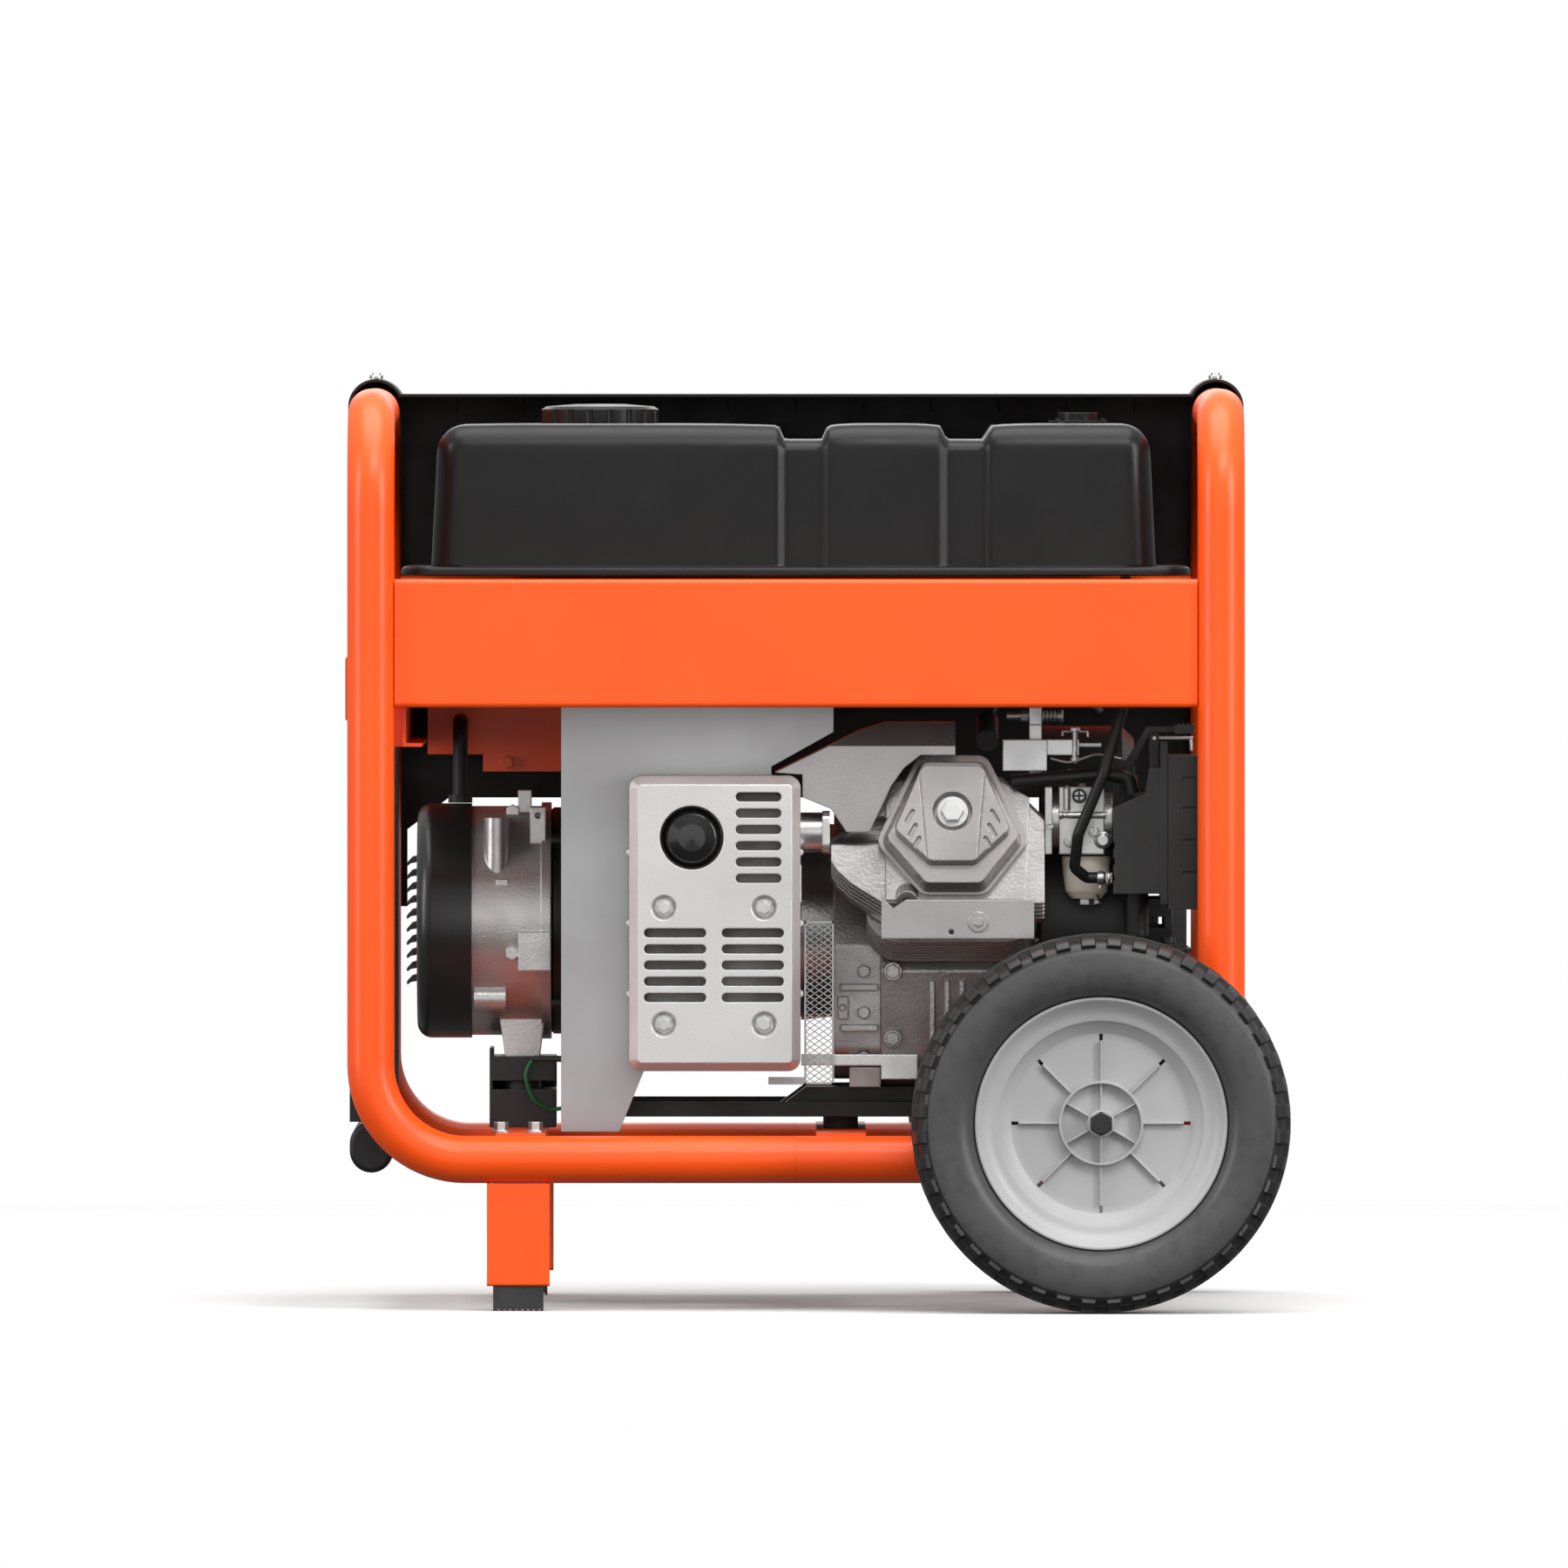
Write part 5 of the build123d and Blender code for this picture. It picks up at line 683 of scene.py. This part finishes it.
# Expanded-metal guard: crossing rows of flat strands in a folded frame, in mm
STRAND_PITCH = 5.1
STRAND_WIDE = 0.8
STRAND_THICK = 0.9
STRAND_SHIFT = 0.2             # how far crossing strands stand apart in Y
GUARD_LEFT = -9.6
GUARD_EDGE = (1.6, 1.5)        # width and thickness of the border
GUARD_TAB = 6.0
GUARD_CELLS = 3
GUARD_MARGIN = 4.0             # height left over for the border
FIRST_ROW = 4.5


def add_bar(mesh, start, end, wide, thick):
    """A flat bar between two points of the guard's plane, y being its thickness."""
    along = (end - start).normalized()
    side = Vector((-along.z, 0.0, along.x)) * (wide / 2)
    depth = Vector((0.0, thick / 2, 0.0))
    corners = [start + side - depth, start - side - depth, start - side + depth, start + side + depth,
               end + side - depth, end - side - depth, end - side + depth, end + side + depth]
    verts = [mesh.verts.new(c * MM) for c in corners]
    for ring in ((3, 2, 1, 0), (4, 5, 6, 7), (0, 1, 5, 4), (1, 2, 6, 5), (2, 3, 7, 6), (3, 0, 4, 7)):
        mesh.faces.new([verts[i] for i in ring])


def make_guard():
    """The expanded-metal guard between the muffler and the engine."""
    low, high = [Vector(c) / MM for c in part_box("muffler_guard_mesh")]
    left, right = GUARD_LEFT, high.x
    y = (low.y + high.y) / 2
    mesh = bmesh.new()
    inset = 0.75 * GUARD_EDGE[0]
    width = (right - left - 2 * inset) / GUARD_CELLS
    for row in range(int((high.z - low.z - GUARD_MARGIN) / STRAND_PITCH)):
        z = low.z + FIRST_ROW + row * STRAND_PITCH
        for phase in (-1, 1):
            shifted = y + phase * STRAND_SHIFT
            for cell in range(GUARD_CELLS):
                x = left + inset + cell * width
                tip = phase * (1 if cell % 2 else -1) * STRAND_PITCH / 2
                add_bar(mesh, Vector((x, shifted, z + tip)), Vector((x + width, shifted, z - tip)),
                        STRAND_WIDE, STRAND_THICK)
    half_edge = GUARD_EDGE[0] / 2
    for x in (left + half_edge, right - half_edge):
        add_bar(mesh, Vector((x, y, low.z)), Vector((x, y, high.z)), *GUARD_EDGE)
    for z in (low.z + half_edge, high.z - half_edge):
        add_bar(mesh, Vector((left, y, z)), Vector((right, y, z)), *GUARD_EDGE)
    tab_z = low.z + GUARD_TAB / 2
    add_bar(mesh, Vector((low.x, y, tab_z)), Vector((left, y, tab_z)), GUARD_TAB, GUARD_EDGE[1])
    finish_piece(mesh, "guard_lattice", "galvanised", "muffler_guard_mesh", smooth=False)


# ---------------------------------------------------------------- small pieces beside the CAD ones
class Pieces:
    """Points and faces of a group of small pieces; every size given to it is in mm."""

    def __init__(self):
        self.points = []
        self.faces = []

    def ring(self, centre, first, second, radius, sides):
        """Points round a circle whose plane is given by two directions."""
        for k in range(sides):
            angle = 2 * pi * k / sides
            self.points.append((centre + (first * cos(angle) + second * sin(angle)) * radius) * MM)

    def close(self, begin, rings, sides):
        """Faces between rings that follow each other, with a cap at both ends."""
        for r in range(rings - 1):
            for k in range(sides):
                a = begin + r * sides + k
                b = begin + r * sides + (k + 1) % sides
                self.faces.append((a, b, b + sides, a + sides))
        self.faces.append(tuple(begin + k for k in reversed(range(sides))))
        self.faces.append(tuple(begin + (rings - 1) * sides + k for k in range(sides)))

    def spun(self, start, axis, profile, sides=28):
        """A turned shape; the profile is (distance along the axis, radius)."""
        along = Vector(axis).normalized()
        first = along.orthogonal().normalized()
        begin = len(self.points)
        for out, radius in profile:
            self.ring(Vector(start) + along * out, first, along.cross(first), radius, sides)
        self.close(begin, len(profile), sides)

    def wire(self, route, radius):
        """A round wire along a route."""
        sides = 10
        route = [Vector(p) for p in route]
        begin = len(self.points)
        side = (route[1] - route[0]).orthogonal()
        for k, point in enumerate(route):
            along = (route[min(k + 1, len(route) - 1)] - route[max(k - 1, 0)]).normalized()
            side = (side - along * side.dot(along)).normalized()
            self.ring(point, side, along.cross(side), radius, sides)
        self.close(begin, len(route), sides)

    def screw_head(self, x, y, z, radius, height, parts, turn):
        """A head that faces -Y, cut by one slot (2 parts) or by a cross (4 parts)."""
        gap = radius * 0.16
        cut = asin(gap / radius)
        span = 2 * pi / parts
        angles = [cut + (span - 2 * cut) * k / 10 for k in range(11)]
        corners = [(radius * cos(angle), radius * sin(angle)) for angle in angles]
        if parts == 4:
            corners.append((gap, gap))
        for part in range(parts):
            begin = len(self.points)
            spin = turn + span * part
            for front in (0.0, height):
                for u, v in corners:
                    self.points.append(Vector((x + u * cos(spin) - v * sin(spin), y - front,
                                               z + u * sin(spin) + v * cos(spin))) * MM)
            count = len(corners)
            for k in range(count):
                after = (k + 1) % count
                self.faces.append((begin + k, begin + k + count, begin + after + count, begin + after))
            self.faces.append(tuple(begin + k for k in range(count)))
            self.faces.append(tuple(begin + count + k for k in reversed(range(count))))

    def make(self, name, node, slot_name):
        """One object of all the pieces, on the body that carries a CAD node."""
        piece = new_piece(name, self.points, self.faces, body_of_node(node), slot_name)
        piece.data.set_sharp_from_angle(angle=radians(35.0))
        return piece


CARB_FRONT = -172.0            # front faces of the carburettor's bosses, in mm
SHAFT_Y = -169.5
HOSE_END = (226.4, -171.0, 347.0)
BOWL_MIDDLE = (218.0, -142.0)
ROD_AT = (-138.0, 477.0)       # Y and Z of the governor's spring rod
STOP_SCREW = (208.6, -150.0)
GREEN_WIRE = (0.02, 0.16, 0.05)


def smooth_route(points):
    """Points along a Catmull-Rom curve through the given ones."""
    steps = 8
    held = [Vector(p) for p in points]
    held = [held[0] * 2 - held[1]] + held + [held[-1] * 2 - held[-2]]
    route = []
    for a, b, c, d in zip(held, held[1:], held[2:], held[3:]):
        for k in range(steps):
            t = k / steps
            route.append(((b * 2) + (c - a) * t + (a * 2 - b * 5 + c * 4 - d) * t ** 2
                          + (b * 3 - a - c * 3 + d) * t ** 3) * 0.5)
    return route + [held[-2]]


def make_carburettor_details():
    """Screws, shafts and the hose clamp that the photo shows on the carburettor."""
    bright = Pieces()
    bright.spun((195.4, SHAFT_Y, 397.5), (1, 0, 0), (
        (0, 2.0), (0.2, 3.2), (3.0, 3.2), (3.4, 2.3), (7.0, 2.3), (7.4, 2.8), (38.0, 2.8)))
    bright.spun((202.0, SHAFT_Y, 401.5), (0, 0, 1), ((0, 2.9), (17.6, 2.9), (18.4, 2.3), (19.6, 2.3)))
    bright.spun((231.0, -165.0, 377.4), (0, -1, 0), (
        (0, 7.4), (5.0, 7.0), (5.6, 5.0), (8.6, 5.0), (9.2, 4.3)))
    hose = Vector(HOSE_END)
    bright.spun(hose, (1, 0, 0), ((0, 4.6), (0.3, 5.4), (5.3, 5.4), (5.6, 4.6)), 32)
    bright.spun(hose + Vector((2.8, 0.0, -4.0)), (0, 0, -1), ((0, 1.7), (4.4, 1.7), (4.8, 1.2)))
    bright.spun(hose + Vector((8.2, 0.0, 0.0)), (1, 0, 0), (
        (0, 5.6), (0.4, 6.2), (2.2, 6.2), (2.6, 5.6)), 32)
    bright.spun((*BOWL_MIDDLE, 324.6), (0, 0, 1), (
        (0, 6.9), (0.5, 7.4), (5.2, 7.4), (5.2, 8.6), (6.4, 8.6)), 6)
    bright.spun((225.0, -153.0, 333.0), (0.25, -0.5, -1.0), (
        (0, 2.6), (6.0, 2.6), (6.0, 3.6), (9.4, 3.6)), 6)
    for x, z, radius, parts, turn in ((212.0, 413.0, 4.0, 4, 0.0), (188.0, 389.1, 3.3, 2, 0.3),
                                      (224.0, 384.0, 2.9, 2, 1.1), (204.0, 376.0, 2.9, 2, 2.3)):
        bright.screw_head(x, CARB_FRONT, z, radius, 1.5, parts, turn)
    bright.make("carburettor_fittings", "carburetor_body", "bracket_zinc")
    seals = Pieces()
    seals.spun((212.0, CARB_FRONT, 413.0), (0, -1, 0), ((0, 5.2), (0.4, 5.6), (0.8, 5.2)), 36)
    seals.spun((*BOWL_MIDDLE, 364.0), (0, 0, 1), ((0, 19.6), (0.3, 20.4), (2.0, 20.4), (2.3, 19.6)), 56)
    seals.make("carburettor_seals", "carburetor_body", "hose_rubber")


def make_governor_details():
    """The spring's end washer, the stop screw's nuts and the link rods of the governor."""
    bright = Pieces()
    bright.spun((196.6, *ROD_AT), (1, 0, 0), ((0, 4.6), (0.3, 5.4), (2.2, 5.4), (2.5, 4.6)))
    bright.spun((165.0, *ROD_AT), (1, 0, 0), ((0, 5.0), (5.6, 5.0)), 6)
    bright.spun((*STOP_SCREW, 464.6), (0, 0, 1), ((0, 4.4), (3.2, 4.4)), 6)
    bright.spun((*STOP_SCREW, 440.6), (0, 0, 1), ((0, 3.8), (3.0, 3.8)), 6)
    bright.wire(smooth_route((
        (198.6, -151.0, 461.0), (199.0, -151.0, 464.4), (203.0, -151.0, 464.6),
        (215.0, -151.0, 464.6), (218.6, -151.0, 464.2), (219.2, -151.0, 460.0))), 1.0)
    bright.wire(smooth_route((
        (189.0, -150.0, 443.0), (205.0, -152.0, 440.0), (226.0, -150.0, 446.0),
        (246.0, -146.0, 442.5))), 1.1)
    bright.make("governor_fittings", "governor_bracket", "bracket_zinc")


def make_ground_wires():
    """Green earth wires from the alternator foot to the frame."""
    green = Pieces()
    green.wire(smooth_route(((-205.0, -8.0, 198.6), (-217.0, -10.0, 198.6), (-229.0, -16.0, 197.0),
                             (-235.0, -20.0, 184.0), (-229.0, -16.0, 166.0), (-217.0, -10.0, 157.5),
                             (-206.0, -8.0, 157.5))), 1.7)
    wires = green.make("ground_wires", "wiring", "wiring_black")
    wires.data.materials.clear()
    wires.data.materials.append(moulded("green_sleeve", GREEN_WIRE).material)


make_camera()
make_studio()
materials = make_materials()
tread_material = rubber("tread_rubber", 0.020, (0.30, 0.42), 320.0, 0.00008).material
dress_cad(materials)
for place, side in (("near", -1), ("far", 1)):
    make_tyre("tyre_" + place)
    make_rim("rim_" + place, side)
make_tank()
make_guard()
make_carburettor_details()
make_governor_details()
make_ground_wires()
